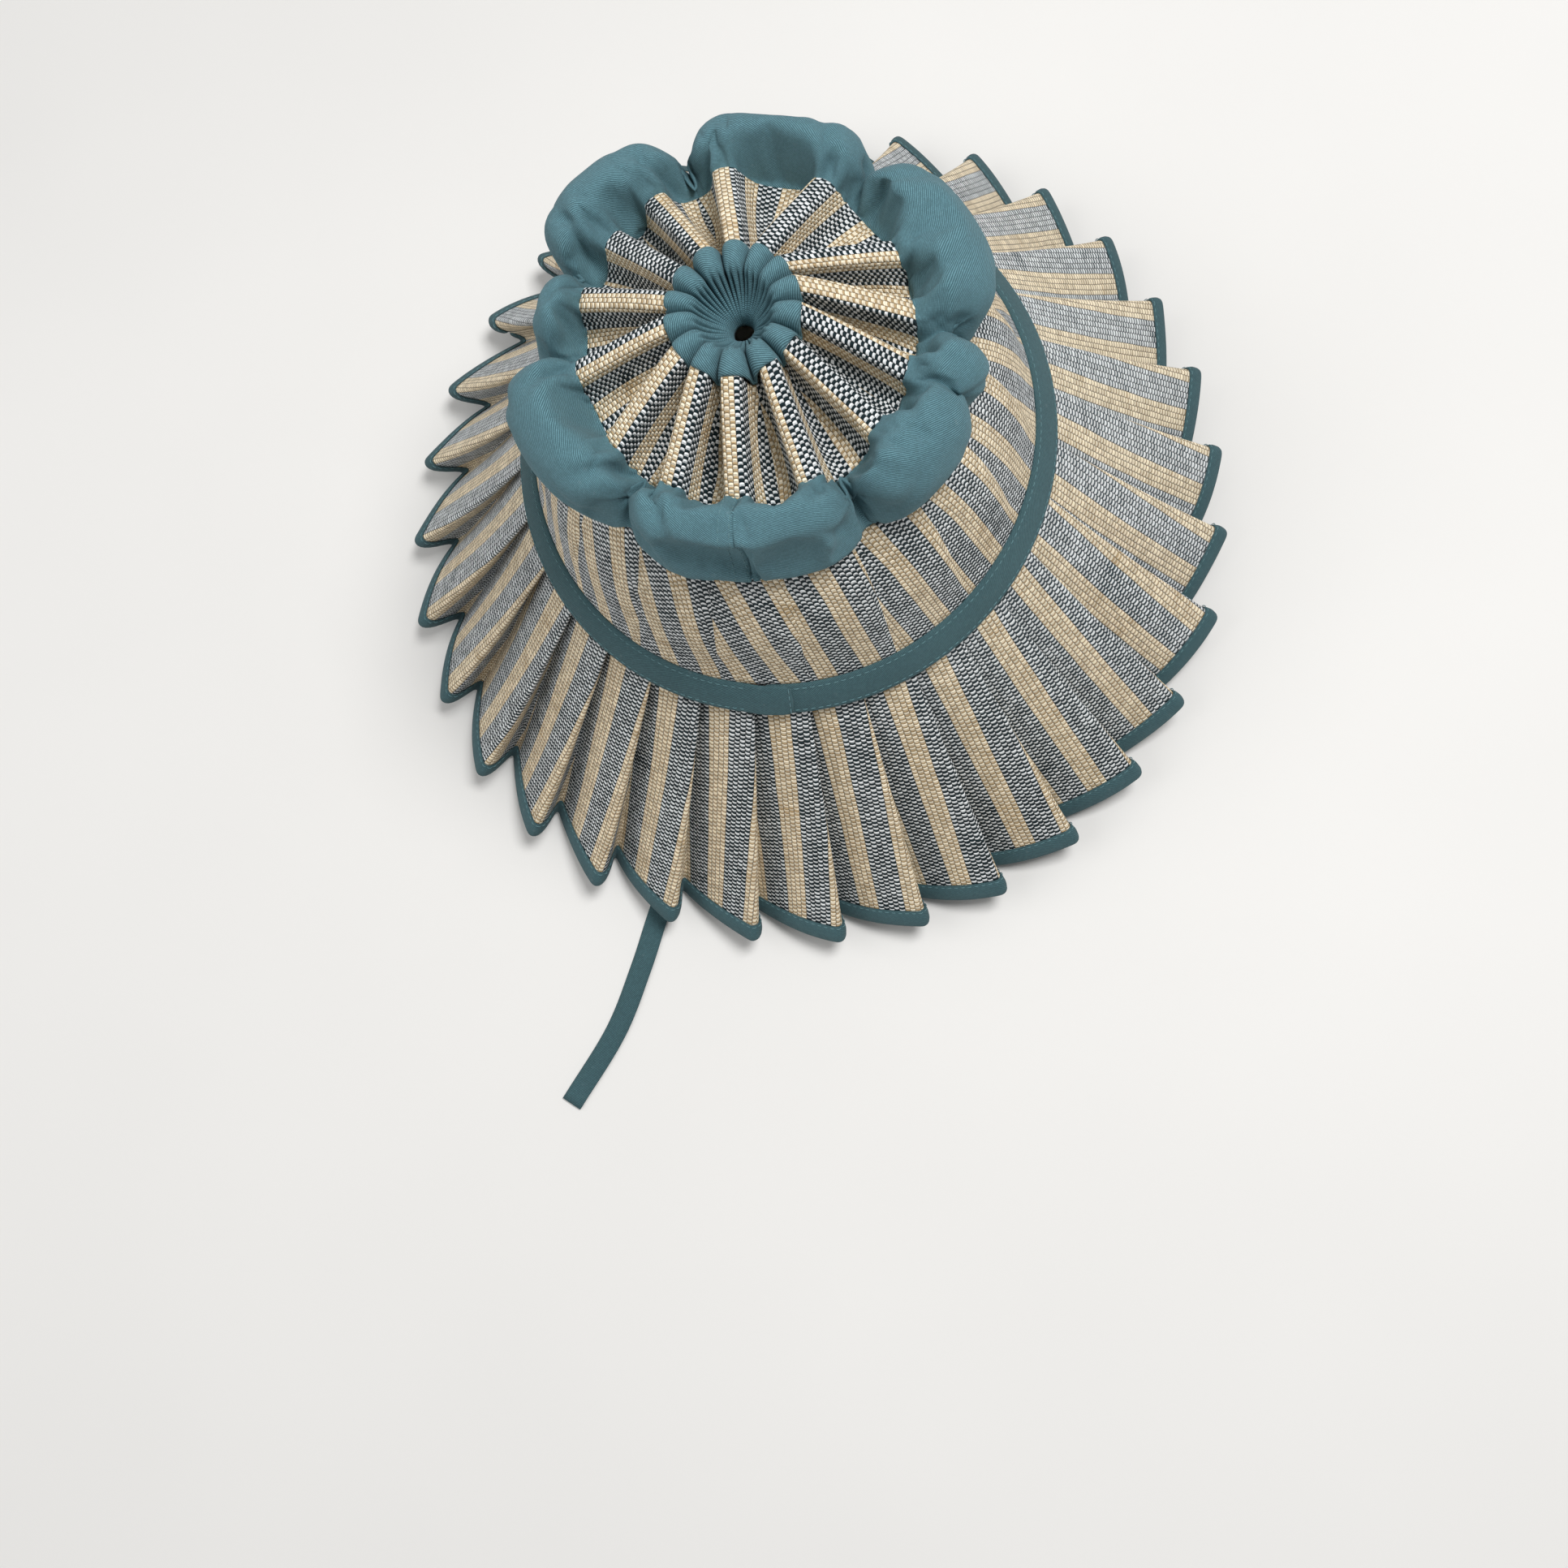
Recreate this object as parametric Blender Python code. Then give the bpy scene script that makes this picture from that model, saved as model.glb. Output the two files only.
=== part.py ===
"""A pleated, packable sun hat of striped hand-woven cloth with twill trims, standing on its brim.

Metres, +Z up. The origin is on the surface that the hat stands on, on the hat's axis, and the back of the
hat faces -Y. The pleats and puffs that show from a step away are in the solids, the weave and stitches are not.
"""

import math

import bmesh
import bpy
import numpy as np
from mathutils import Vector

# The head opening and the cloth
HEAD_RADIUS = 0.0900
HEAD_OVAL = 0.020
CLEARANCE = 0.0003
WOVEN_THICKNESS = 0.0008
TWILL_THICKNESS = 0.0010

# The sweatband and the trim on the join of crown and brim
SWEATBAND_THICKNESS = 0.0010
SWEATBAND_SHARE = 0.12
SWEATBAND_BELOW_TRIM = 0.011
TRIM_WIDTH = 0.0122
TRIM_THICKNESS = 0.0014
TRIM_SLOPE = math.radians(50.0)

# The knife-pleated brim
PLEATS = 31
PANEL_PLEATS = {"brim_right": 10, "brim_front": 11, "brim_left": 10}
FIRST_RIDGE = math.radians(-94.6)
BRIM_LENGTH = 0.1115
BRIM_TUCK = 0.0055
BRIM_SLOPE_TOP = math.radians(56.0)
BRIM_SLOPE_EDGE = math.radians(49.0)
PLEAT_DEPTH_TOP = 0.0033
PLEAT_DEPTH_EDGE = 0.0205
PLEAT_LAP_TOP = 0.0052
PLEAT_OPENING_EDGE = 0.0010
FOLD_DROP_TOP = 0.0011
FOLD_DROP_EDGE = 0.0024
FOLD_ROUND_EDGE = 0.0011
PANEL_BOW = 0.0008
JOIN_GAP = 0.0003

# The folded tape on the brim's edge
BINDING_WIDTH = 0.0072
BINDING_WALL = 0.0008
BINDING_RIM = 0.0012
REST_CUT = 0.0005

# The crown wall, from under the trim up to the puff band
WALL_TUCK = 0.0045
WALL_HEIGHT = 0.0666
WALL_TOP_RADIUS = 0.0680
WALL_BULGE = 0.0050
WALL_TUCKS = 18
WALL_TUCK_DEPTH = 0.0010

# How the soft crown leans: metres aside and back for each metre above this height
LEAN_HEIGHT = 0.150
LEAN_SIDE = -0.055
LEAN_BACK = -0.030

# The gathered puff band round the crown top
CROWN_RADIUS = 0.0537
CROWN_HEIGHT = 0.0905
PUFF_RADIUS = 0.0810
PUFF_FRONT_PULL = 0.0020
PUFF_BACK_PULL = 0.0045
PUFF_RISE = 0.0105
PUFF_EQUATOR = 0.0815
PUFF_HANG = 0.0025
PUFF_OVERHANG = 0.0065
PUFF_CREASES = tuple(math.radians(a) for a in (-123.0, -54.0, -16.0, 2.0, 55.0, 112.0, 160.0, 187.0))
PUFF_CREASE_WIDTH = math.radians(9.0)
PUFF_CREASE_DEPTH = 0.0075
PUFF_TURNING = 0.0030

# The pleated crown top and the bound, gathered centre
RIDGES_OUTER = (-165.0, -136.0, -111.0, -88.0, -63.0, -35.0, -13.0, 6.0, 28.0, 64.0, 100.0, 126.0, 146.0, 169.0)
RIDGES_INNER = (-167.0, -140.0, -116.0, -88.0, -55.0, -31.0, -2.0, 23.0, 45.0, 68.0, 92.0, 120.0, 148.0, 172.0)
RIDGE_WIDTH_OUTER = 0.0070
RIDGE_WIDTH_INNER = 0.0056
RIDGE_TOP_SHARE = 0.47
RIDGE_SHOULDER = 0.14
RIDGE_DEPTH_OUTER = 0.0130
RIDGE_DEPTH_MIDDLE = 0.0030
RIDGE_DEPTH_INNER = 0.0075
CROWN_DOME = 0.0135
BOUND_RADIUS = 0.0212
CAP_RADIUS = 0.0128
FUNNEL_RADIUS = 0.0045
FUNNEL_DEPTH = 0.0150
FUNNEL_PLEAT = 0.0012
THREAD_DIAMETER = 0.0012

# The tape over the seam inside the crown
TAPE_WIDTH = 0.0085
TAPE_LAP = 0.0008
TAPE_THICKNESS = 0.0008

# The tie, with the route of its middle line by hand, from under its tab
TIE_WIDTH = 0.0088
TIE_THICKNESS = 0.0012
TIE_TAB_HEIGHT = 0.0120
TIE_ANGLE = math.radians(-112.0)
TIE_ROUTE = (
    (-0.0328, -0.0845, 0.0550),
    (-0.0330, -0.0852, 0.0340),
    (-0.0337, -0.0880, 0.0150),
    (-0.0362, -0.0970, 0.0042),
    (-0.0405, -0.1120, 0.0009),
    (-0.0445, -0.1275, 0.0008),
    (-0.0490, -0.1450, 0.0008),
    (-0.0552, -0.1690, 0.0008),
    (-0.0605, -0.1900, 0.0008),
    (-0.0690, -0.2160, 0.0008),
    (-0.0850, -0.2455, 0.0008),
)

# Facets
BRIM_ROWS = 3
WALL_ROWS = (0.0, SWEATBAND_SHARE, 0.35, 0.6, 0.84, 1.0)
RING_FACETS = 4 * WALL_TUCKS
SHARPEST_MITRE = 0.4
WIDE_VALLEY = 27.5

WOVEN = (0.62, 0.55, 0.44)
TEAL = (0.060, 0.168, 0.180)
DARK_TEAL = (0.040, 0.110, 0.120)


def lerp(start, end, share):
    return start + (end - start) * share


def place(angle, radius, height):
    """A point of the hat from its angle round the axis, its radius and its height."""
    lean = max(height - LEAN_HEIGHT, 0.0)
    wide = radius * (1.0 - HEAD_OVAL) * math.cos(angle) + LEAN_SIDE * lean
    deep = radius * (1.0 + HEAD_OVAL) * math.sin(angle) + LEAN_BACK * lean
    return np.array((wide, deep, height))


def normals_along(points):
    """The mitred normal at each point of a flat path, turned left of its direction."""
    steps = np.diff(points, axis=0)
    steps = steps / np.linalg.norm(steps, axis=1)[:, None]
    sides = np.stack((-steps[:, 1], steps[:, 0]), axis=1)
    mitres = np.vstack((sides[:1], sides[:-1] + sides[1:], sides[-1:]))
    mitres = mitres / np.linalg.norm(mitres, axis=1)[:, None]
    reach = np.einsum("ij,ij->i", mitres, np.vstack((sides[:1], sides)))
    return mitres / reach[:, None]


def material(name, colour, roughness):
    made = bpy.data.materials.new(name)
    made.use_nodes = True
    shader = made.node_tree.nodes["Principled BSDF"]
    shader.inputs["Base Color"].default_value = (*colour, 1.0)
    shader.inputs["Roughness"].default_value = roughness
    shader.inputs["Metallic"].default_value = 0.0
    return made


def add_mesh(name, points, faces, colour, roughness):
    """One closed, smooth-shaded object with its own material."""
    work = bmesh.new()
    verts = [work.verts.new(point) for point in points]
    for face in faces:
        work.faces.new([verts[index] for index in face])
    bmesh.ops.recalc_face_normals(work, faces=work.faces)
    mesh = bpy.data.meshes.new(name)
    work.to_mesh(mesh)
    work.free()
    mesh.shade_smooth()
    mesh.set_sharp_from_angle(angle=math.radians(50.0))
    made = bpy.data.objects.new(name, mesh)
    made.data.materials.append(material(name, colour, roughness))
    bpy.context.scene.collection.objects.link(made)
    made.parent = bpy.data.objects[PARENT_OF.get(name, "hat")]
    return made


def sweep(name, rings, closed, colour, roughness):
    """A solid through rings of points: a loop of rings if closed, else with its two ends filled.

    The first half of a ring is one wall and the rest its other wall, so both are cut into triangles alike.
    """
    count = len(rings)
    size = len(rings[0])
    points = [point for ring in rings for point in ring]
    faces = []
    for i in range(count if closed else count - 1):
        here = i * size
        there = (i + 1) % count * size
        for j in range(size):
            k = (j + 1) % size
            a, b, c, d = here + j, here + k, there + k, there + j
            if 2 * j < size:
                faces += [(a, b, c), (a, c, d)]
            else:
                faces += [(a, b, d), (b, c, d)]
    if not closed:
        faces.append(tuple(range(size)))
        faces.append(tuple(range((count - 1) * size, count * size)))
    return add_mesh(name, points, faces, colour, roughness)


def shell(name, sections, thickness, closed, colour, roughness=0.85):
    """A thin ring of cloth from its sections: (angle, a path of radius and height)."""
    rings = []
    for angle, path in sections:
        path = np.array(path)
        side = normals_along(path) * thickness / 2.0
        outline = list(path + side) + list((path - side)[::-1])
        rings.append([place(angle, radius, height) for radius, height in outline])
    return sweep(name, rings, closed, colour, roughness)


def even_angles(count):
    return [2.0 * math.pi * i / count for i in range(count)]


def round_sections(path):
    """The sections of a ring that is the same all the way round."""
    return [(angle, path) for angle in even_angles(RING_FACETS)]


# The line of the trim: its lower edge is where the brim starts, at the height TRIM_Z
TRIM_NORMAL = np.array((math.sin(TRIM_SLOPE), math.cos(TRIM_SLOPE)))
TRIM_DOWN = np.array((math.cos(TRIM_SLOPE), -math.sin(TRIM_SLOPE)))
WALL_RADIUS = HEAD_RADIUS + SWEATBAND_THICKNESS + CLEARANCE + WOVEN_THICKNESS / 2.0
TRIM_UPPER_RADIUS = WALL_RADIUS + WOVEN_THICKNESS / 2.0 + CLEARANCE + TRIM_THICKNESS / 2.0 * TRIM_NORMAL[0]
BRIM_UNDER_TRIM = TRIM_THICKNESS / 2.0 + CLEARANCE + WOVEN_THICKNESS / 2.0 + PLEAT_DEPTH_TOP / 2.0
BINDING_HALF = WOVEN_THICKNESS / 2.0 + CLEARANCE + BINDING_WALL
PITCH = 2.0 * math.pi / PLEATS
TIE_RADIUS = HEAD_RADIUS - CLEARANCE - TIE_THICKNESS / 2.0


def brim_slope(share):
    """The brim's slope below the horizontal. What is tucked under the trim lies along it."""
    if share < 0.0:
        return TRIM_SLOPE
    return lerp(BRIM_SLOPE_TOP, BRIM_SLOPE_EDGE, min(share, 1.0))


def brim_line(share):
    """The brim's middle line below the trim's lower edge, as (outwards, downwards), at a share of its length."""
    steps = 24
    line = np.zeros(2)
    for i in range(steps):
        slope = brim_slope(share * (i + 0.5) / steps)
        line += np.array((math.cos(slope), math.sin(slope))) * BRIM_LENGTH * share / steps
    return line


def edge_share(beyond):
    """The share of the brim's length at a distance past the cut edge of the cloth."""
    return 1.0 + beyond / BRIM_LENGTH


def lowest_point():
    """How far the binding's valleys reach below the trim's lower edge, before they are cut flat."""
    share = edge_share(CLEARANCE + BINDING_RIM)
    slope = brim_slope(share)
    sunk = BRIM_UNDER_TRIM * TRIM_NORMAL[1] + brim_line(share)[1]
    half_depth = lerp(PLEAT_DEPTH_TOP, PLEAT_DEPTH_EDGE, share) / 2.0
    return sunk + (half_depth + BINDING_HALF) * math.cos(slope)


TRIM_Z = lowest_point() - REST_CUT
TRIM_LOWER = np.array((TRIM_UPPER_RADIUS + TRIM_WIDTH * TRIM_DOWN[0], TRIM_Z))
BRIM_START = TRIM_LOWER - TRIM_NORMAL * BRIM_UNDER_TRIM


def fold_path(share, ridge):
    """The four bends of one fold, at a share of the brim's length: (along the arc, off the middle line)."""
    share = max(share, 0.0)
    depth = lerp(PLEAT_DEPTH_TOP, PLEAT_DEPTH_EDGE, share) / 2.0
    lap = lerp(PLEAT_LAP_TOP, -PLEAT_OPENING_EDGE, share) / 2.0
    drop = lerp(FOLD_DROP_TOP, FOLD_DROP_EDGE, share)
    soft = lerp(0.0, FOLD_ROUND_EDGE, share)
    return (
        (ridge + lap - soft, depth),
        (ridge + lap + soft, depth - drop),
        (ridge - lap - soft, drop - depth),
        (ridge - lap + soft, -depth),
    )


def panel_path(share, first, count):
    """The zigzag of one panel, from the middle of one fold to the middle of the fold `count` pleats on."""
    radius = (BRIM_START + brim_line(share) * (1.0, -1.0))[0]
    arc = radius * PITCH
    path = []
    for k in range(count + 1):
        ridge_top, ridge_side, valley_side, valley_bottom = (
            np.array(bend) for bend in fold_path(share, (first + k) * arc)
        )
        middle = (ridge_side + valley_side) / 2.0
        along = (valley_side - ridge_side) / np.linalg.norm(valley_side - ridge_side)
        if k > 0:
            bow = np.array((0.0, PANEL_BOW * share))
            path.append((path[-1] + ridge_top) / 2.0 + bow)
            path.append(ridge_top)
            path.append(ridge_side)
            path.append(middle - along * JOIN_GAP / 2.0)
        if k < count:
            if k > 0:
                path.pop()
            else:
                path.append(middle + along * JOIN_GAP / 2.0)
            path.append(valley_side)
            path.append(valley_bottom)
    return np.array(path), radius


def brim_point(share, flat, radius):
    """A point of the brim from its place along the arc and off the middle line."""
    slope = brim_slope(share)
    base = BRIM_START + brim_line(share) * (1.0, -1.0)
    off = np.array((math.sin(slope), math.cos(slope))) * flat[1]
    return place(FIRST_RIDGE + flat[0] / radius, *(base + off))


def brim_layer(share, first, count, offset):
    """One line of points along a panel, off the cloth's middle by `offset`."""
    path, radius = panel_path(share, first, count)
    shifted = path + normals_along(path) * offset
    return [brim_point(share, flat, radius) for flat in shifted]


def make_brim_panel(name, first, count):
    """A length of striped cloth, knife-pleated, with its ends hidden in the folds."""
    bound = edge_share(-BINDING_WIDTH)
    shares = [-BRIM_TUCK / BRIM_LENGTH] + [bound * i / BRIM_ROWS for i in range(BRIM_ROWS + 1)] + [1.0]
    upper = [brim_layer(share, first, count, WOVEN_THICKNESS / 2.0) for share in shares]
    lower = [brim_layer(share, first, count, -WOVEN_THICKNESS / 2.0) for share in shares[::-1]]
    rings = list(zip(*(upper + lower)))
    sweep(name, rings, False, WOVEN, 0.9)


def make_brim_binding(name, first, count, floor):
    """A tape folded over the panel's edge, cut flat where the hat stands on it."""
    slot = WOVEN_THICKNESS / 2.0 + CLEARANCE
    inner = edge_share(-BINDING_WIDTH)
    slot_end = edge_share(CLEARANCE)
    rim = edge_share(CLEARANCE + BINDING_RIM)
    outline = (
        (inner, BINDING_HALF),
        (rim, BINDING_HALF),
        (rim, -BINDING_HALF),
        (inner, -BINDING_HALF),
        (inner, -slot),
        (slot_end, -slot),
        (slot_end, slot),
        (inner, slot),
    )
    lines = [brim_layer(share, first, count, offset) for share, offset in outline]
    made = sweep(name, list(zip(*lines)), False, TEAL, 0.85)
    cut = made.modifiers.new("rest", "BOOLEAN")
    cut.operation = "DIFFERENCE"
    cut.solver = "EXACT"
    cut.object = floor


def make_floor_cutter():
    """A slab below the surface that the hat stands on."""
    width = 4.0 * (TRIM_LOWER[0] + BRIM_LENGTH)
    depth = 4.0 * REST_CUT
    work = bmesh.new()
    bmesh.ops.create_cube(work, size=1.0)
    bmesh.ops.scale(work, vec=Vector((width, width, depth)), verts=work.verts)
    bmesh.ops.translate(work, vec=Vector((0.0, 0.0, -depth / 2.0)), verts=work.verts)
    mesh = bpy.data.meshes.new("floor_cutter")
    work.to_mesh(mesh)
    work.free()
    cutter = bpy.data.objects.new("floor_cutter", mesh)
    cutter.hide_render = True
    cutter.display_type = "WIRE"
    bpy.context.scene.collection.objects.link(cutter)
    return cutter


def make_brim():
    floor = make_floor_cutter()
    first = 0
    for name, count in PANEL_PLEATS.items():
        make_brim_panel(name, first, count)
        make_brim_binding(name.replace("brim", "brim_binding"), first, count, floor)
        first += count


def make_band_trim():
    """The twill tape that covers the join of crown and brim."""
    upper = TRIM_LOWER - TRIM_DOWN * TRIM_WIDTH
    shell("band_trim", round_sections((upper, TRIM_LOWER)), TRIM_THICKNESS, True, TEAL)


def make_sweatband():
    """The band inside the head opening, up the foot of the wall and down below the join."""
    inset = np.array((WALL_RADIUS - HEAD_RADIUS - SWEATBAND_THICKNESS / 2.0, 0.0))
    foot = wall_point(0.0) - inset
    path = (wall_point(SWEATBAND_SHARE) - inset, foot, (foot[0], TRIM_Z - SWEATBAND_BELOW_TRIM))
    shell("sweatband", round_sections(path), SWEATBAND_THICKNESS, True, DARK_TEAL)


def wall_point(share):
    """The wall's middle line: upright under the trim, then drawn in to the puff band."""
    foot = np.array((WALL_RADIUS, TRIM_Z + WALL_TUCK))
    top = np.array((WALL_TOP_RADIUS, TRIM_Z + WALL_HEIGHT))
    bend = np.array((WALL_RADIUS - WALL_BULGE, lerp(foot[1], top[1], 0.62)))
    return foot * (1.0 - share) ** 2 + bend * 2.0 * share * (1.0 - share) + top * share**2


def wall_along():
    """The wall's direction at its top edge."""
    along = wall_point(1.0) - wall_point(WALL_ROWS[-2])
    return along / np.linalg.norm(along)


def wall_profile(angle):
    """A section of the wall, drawn in where a tuck is sewn down."""
    fold = abs(math.sin(WALL_TUCKS * angle / 2.0)) ** 0.5
    path = []
    for share in WALL_ROWS:
        radius, height = wall_point(share)
        free = 16.0 * (share * (1.0 - share)) ** 2 if share > SWEATBAND_SHARE else 0.0
        path.append((radius - WALL_TUCK_DEPTH * (1.0 - fold) * free, height))
    return path[::-1]


def make_crown_wall():
    sections = [(angle, wall_profile(angle)) for angle in even_angles(RING_FACETS)]
    shell("crown_wall", sections, WOVEN_THICKNESS, True, WOVEN)


def crown_share(radius):
    """How far in from the puff band's seam a radius lies, as a share of the way to the bound centre."""
    return (CROWN_RADIUS - radius) / (CROWN_RADIUS - BOUND_RADIUS)


def crown_bends(radius):
    """The bends of the crown's ridges at a radius, as (angle, fall): fall is 0 on a ridge and 1 in a valley."""
    share = min(crown_share(radius), 1.0)
    ridges = [math.radians(lerp(*pair, share)) for pair in zip(RIDGES_OUTER, RIDGES_INNER)]
    edge = lerp(RIDGE_WIDTH_OUTER, RIDGE_WIDTH_INNER, share) / 2.0 / max(radius, BOUND_RADIUS)
    bends = []
    for k, ridge in enumerate(ridges):
        for side, j in ((-1.0, k), (1.0, (k + 1) % len(ridges))):
            half = (ridges[j] - ridges[j - 1]) % (2.0 * math.pi) / 2.0
            shoulder = min(edge, 0.7 * half)
            flank = [(RIDGE_TOP_SHARE * shoulder, 0.0), (shoulder, RIDGE_SHOULDER)]
            if (RIDGES_OUTER[j] - RIDGES_OUTER[j - 1]) % 360.0 > WIDE_VALLEY:
                flank.append((lerp(shoulder, half, 0.5), lerp(RIDGE_SHOULDER, 1.0, 0.5)))
            if side < 0.0:
                flank = [(half, 1.0)] + flank[::-1]
            bends += [(ridge + side * step, fall) for step, fall in flank]
    return bends


def crown_top_height(radius):
    """The height of the ridges, rising from the puff band to the bound centre."""
    share = min(crown_share(radius), 1.0)
    return TRIM_Z + CROWN_HEIGHT + CROWN_DOME * math.sin(share * math.pi / 2.0)


def crown_top_line(radius):
    """The crown top's pleats at a radius, as (angle, radius, height) round the hat."""
    share = crown_share(radius)
    depth = lerp(RIDGE_DEPTH_OUTER, RIDGE_DEPTH_INNER, share) + RIDGE_DEPTH_MIDDLE * math.sin(math.pi * share)
    return [(angle, radius, crown_top_height(radius) - depth * fall) for angle, fall in crown_bends(radius)]


def pleated_ring(name, lines, thickness, level_rows, colour, roughness):
    """A pleated ring from lines of (angle, radius, height) points that run round it, outermost first.

    The cut edges among its rows are square to the radius, so that they meet a neighbour's edge.
    """
    count = len(lines[0])
    grid = np.array([[place(*point) for point in line] for line in lines])
    inwards = np.gradient(grid, axis=0)
    for row in level_rows:
        inwards[row] = -grid[row] * (1.0, 1.0, 0.0)
    before = np.cross(inwards, grid - np.roll(grid, 1, axis=1))
    before = before / np.linalg.norm(before, axis=2)[:, :, None]
    after = np.cross(inwards, np.roll(grid, -1, axis=1) - grid)
    after = after / np.linalg.norm(after, axis=2)[:, :, None]
    up = before + after
    up = up / np.linalg.norm(up, axis=2)[:, :, None]
    reach = np.einsum("ijk,ijk->ij", up, before)
    offset = up / np.maximum(reach, SHARPEST_MITRE)[:, :, None] * thickness / 2.0
    rings = []
    for i in range(count):
        rings.append(list((grid + offset)[:, i]) + list((grid - offset)[::-1, i]))
    sweep(name, rings, True, colour, roughness)


def make_crown_top():
    """The woven disc, pleated into radial ridges."""
    inner = BOUND_RADIUS + CLEARANCE / 2.0
    radii = np.linspace(CROWN_RADIUS, inner, 5)
    lines = [crown_top_line(radius) for radius in radii]
    pleated_ring("crown_top", lines, WOVEN_THICKNESS, (0, -1), WOVEN, 0.9)


def make_centre_binding():
    """The twill that caps the ridges' inner ends and dives, pleated, into the gathered centre."""
    outer = BOUND_RADIUS - CLEARANCE / 2.0
    peak = crown_top_height(BOUND_RADIUS)
    funnel_bottom = peak - FUNNEL_DEPTH
    rows = (
        (outer, peak, RIDGE_DEPTH_INNER),
        (lerp(outer, CAP_RADIUS, 0.5), peak + TWILL_THICKNESS, RIDGE_DEPTH_INNER * 0.9),
        (CAP_RADIUS, peak - 0.1 * FUNNEL_DEPTH, RIDGE_DEPTH_INNER * 0.7),
        (lerp(CAP_RADIUS, FUNNEL_RADIUS, 0.6), lerp(peak, funnel_bottom, 0.5), FUNNEL_PLEAT),
        (FUNNEL_RADIUS, funnel_bottom, 0.0),
    )
    lines = []
    for radius, height, depth in rows:
        bends = crown_bends(BOUND_RADIUS)
        lines.append([(angle, radius, height - depth * fall) for angle, fall in bends])
    pleated_ring("centre_binding", lines, WOVEN_THICKNESS, (0,), TEAL, 0.85)


def make_gathering_thread():
    """The thread that draws the centre tight, round its neck under the crown top."""
    height = crown_top_height(BOUND_RADIUS) - FUNNEL_DEPTH + THREAD_DIAMETER
    slope = (CAP_RADIUS - FUNNEL_RADIUS) / FUNNEL_DEPTH
    radius = FUNNEL_RADIUS + slope * THREAD_DIAMETER + WOVEN_THICKNESS + CLEARANCE + THREAD_DIAMETER / 2.0
    rings = []
    for angle in even_angles(24):
        ring = []
        for turn in even_angles(6):
            out = radius + THREAD_DIAMETER / 2.0 * math.cos(turn)
            ring.append(place(angle, out, height + THREAD_DIAMETER / 2.0 * math.sin(turn)))
        rings.append(ring)
    sweep("gathering_thread", rings, True, DARK_TEAL, 0.7)


def crease(angle):
    """1 in the bottom of a crease between two puffs, 0 on a puff."""
    total = 0.0
    for place_of in PUFF_CREASES:
        apart = (angle - place_of + math.pi) % (2.0 * math.pi) - math.pi
        total += math.exp(-((apart / PUFF_CREASE_WIDTH) ** 2))
    return min(total, 1.0)


def puff_radius(angle):
    """The puff band's reach at an angle, flattened at the front and more at the back."""
    pull = PUFF_FRONT_PULL if math.sin(angle) > 0.0 else PUFF_BACK_PULL
    return PUFF_RADIUS - pull * math.sin(angle) ** 2


def puff_profile(angle, seam_height):
    """A section of the puff band, from the crown top's edge out, round and back under to the wall."""
    pinch = crease(angle)
    drawn = PUFF_CREASE_DEPTH * pinch
    seam_radius = CROWN_RADIUS + CLEARANCE
    radius = puff_radius(angle)
    top = TRIM_Z + CROWN_HEIGHT + PUFF_RISE
    equator = TRIM_Z + PUFF_EQUATOR
    along = wall_along()
    low = wall_point(1.0) + along * CLEARANCE
    turned = low + along * PUFF_TURNING
    return (
        (seam_radius, seam_height),
        (seam_radius + PUFF_TURNING / 3.0, seam_height),
        (lerp(seam_radius, radius, 0.40), top - 0.9 * drawn),
        (lerp(seam_radius, radius, 0.82) - 0.6 * drawn, lerp(equator, top, 0.72) - 0.7 * drawn),
        (radius - drawn, equator),
        (turned[0] + PUFF_OVERHANG * (1.0 - 0.6 * pinch), turned[1] - PUFF_HANG * (1.0 - 0.8 * pinch)),
        turned,
        low,
    )


def make_puff_band():
    """The twill band, gathered to the crown top's pleats on one edge and to the wall on the other."""
    sections = []
    for angle, _, seam_height in crown_top_line(CROWN_RADIUS):
        sections.append((angle, puff_profile(angle, seam_height)))
    shell("puff_band", sections, WOVEN_THICKNESS, True, TEAL)


def make_crown_seam_tape():
    """The tape inside the crown, over the seam of wall and puff band."""
    along = wall_along()
    inwards = np.array((-along[1], along[0]))
    inset = inwards * (WOVEN_THICKNESS / 2.0 + CLEARANCE + TAPE_THICKNESS / 2.0)
    upper = wall_point(1.0) + inset + along * TAPE_LAP
    lower = wall_point(1.0) + inset - along * (TAPE_WIDTH - TAPE_LAP)
    shell("crown_seam_tape", round_sections((upper, lower)), TAPE_THICKNESS, True, TEAL)


def smooth_route(points, steps):
    """Points along a smooth curve through a route."""
    curve = []
    route = [np.array(point) for point in points]
    route = [2.0 * route[0] - route[1]] + route + [2.0 * route[-1] - route[-2]]
    for before, here, there, after in zip(route, route[1:], route[2:], route[3:]):
        for i in range(steps):
            t = i / steps
            curve.append(
                0.5
                * (
                    2.0 * here
                    + (there - before) * t
                    + (2.0 * before - 5.0 * here + 4.0 * there - after) * t**2
                    + (3.0 * here - before - 3.0 * there + after) * t**3
                )
            )
    return curve + [route[-2]]


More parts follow.
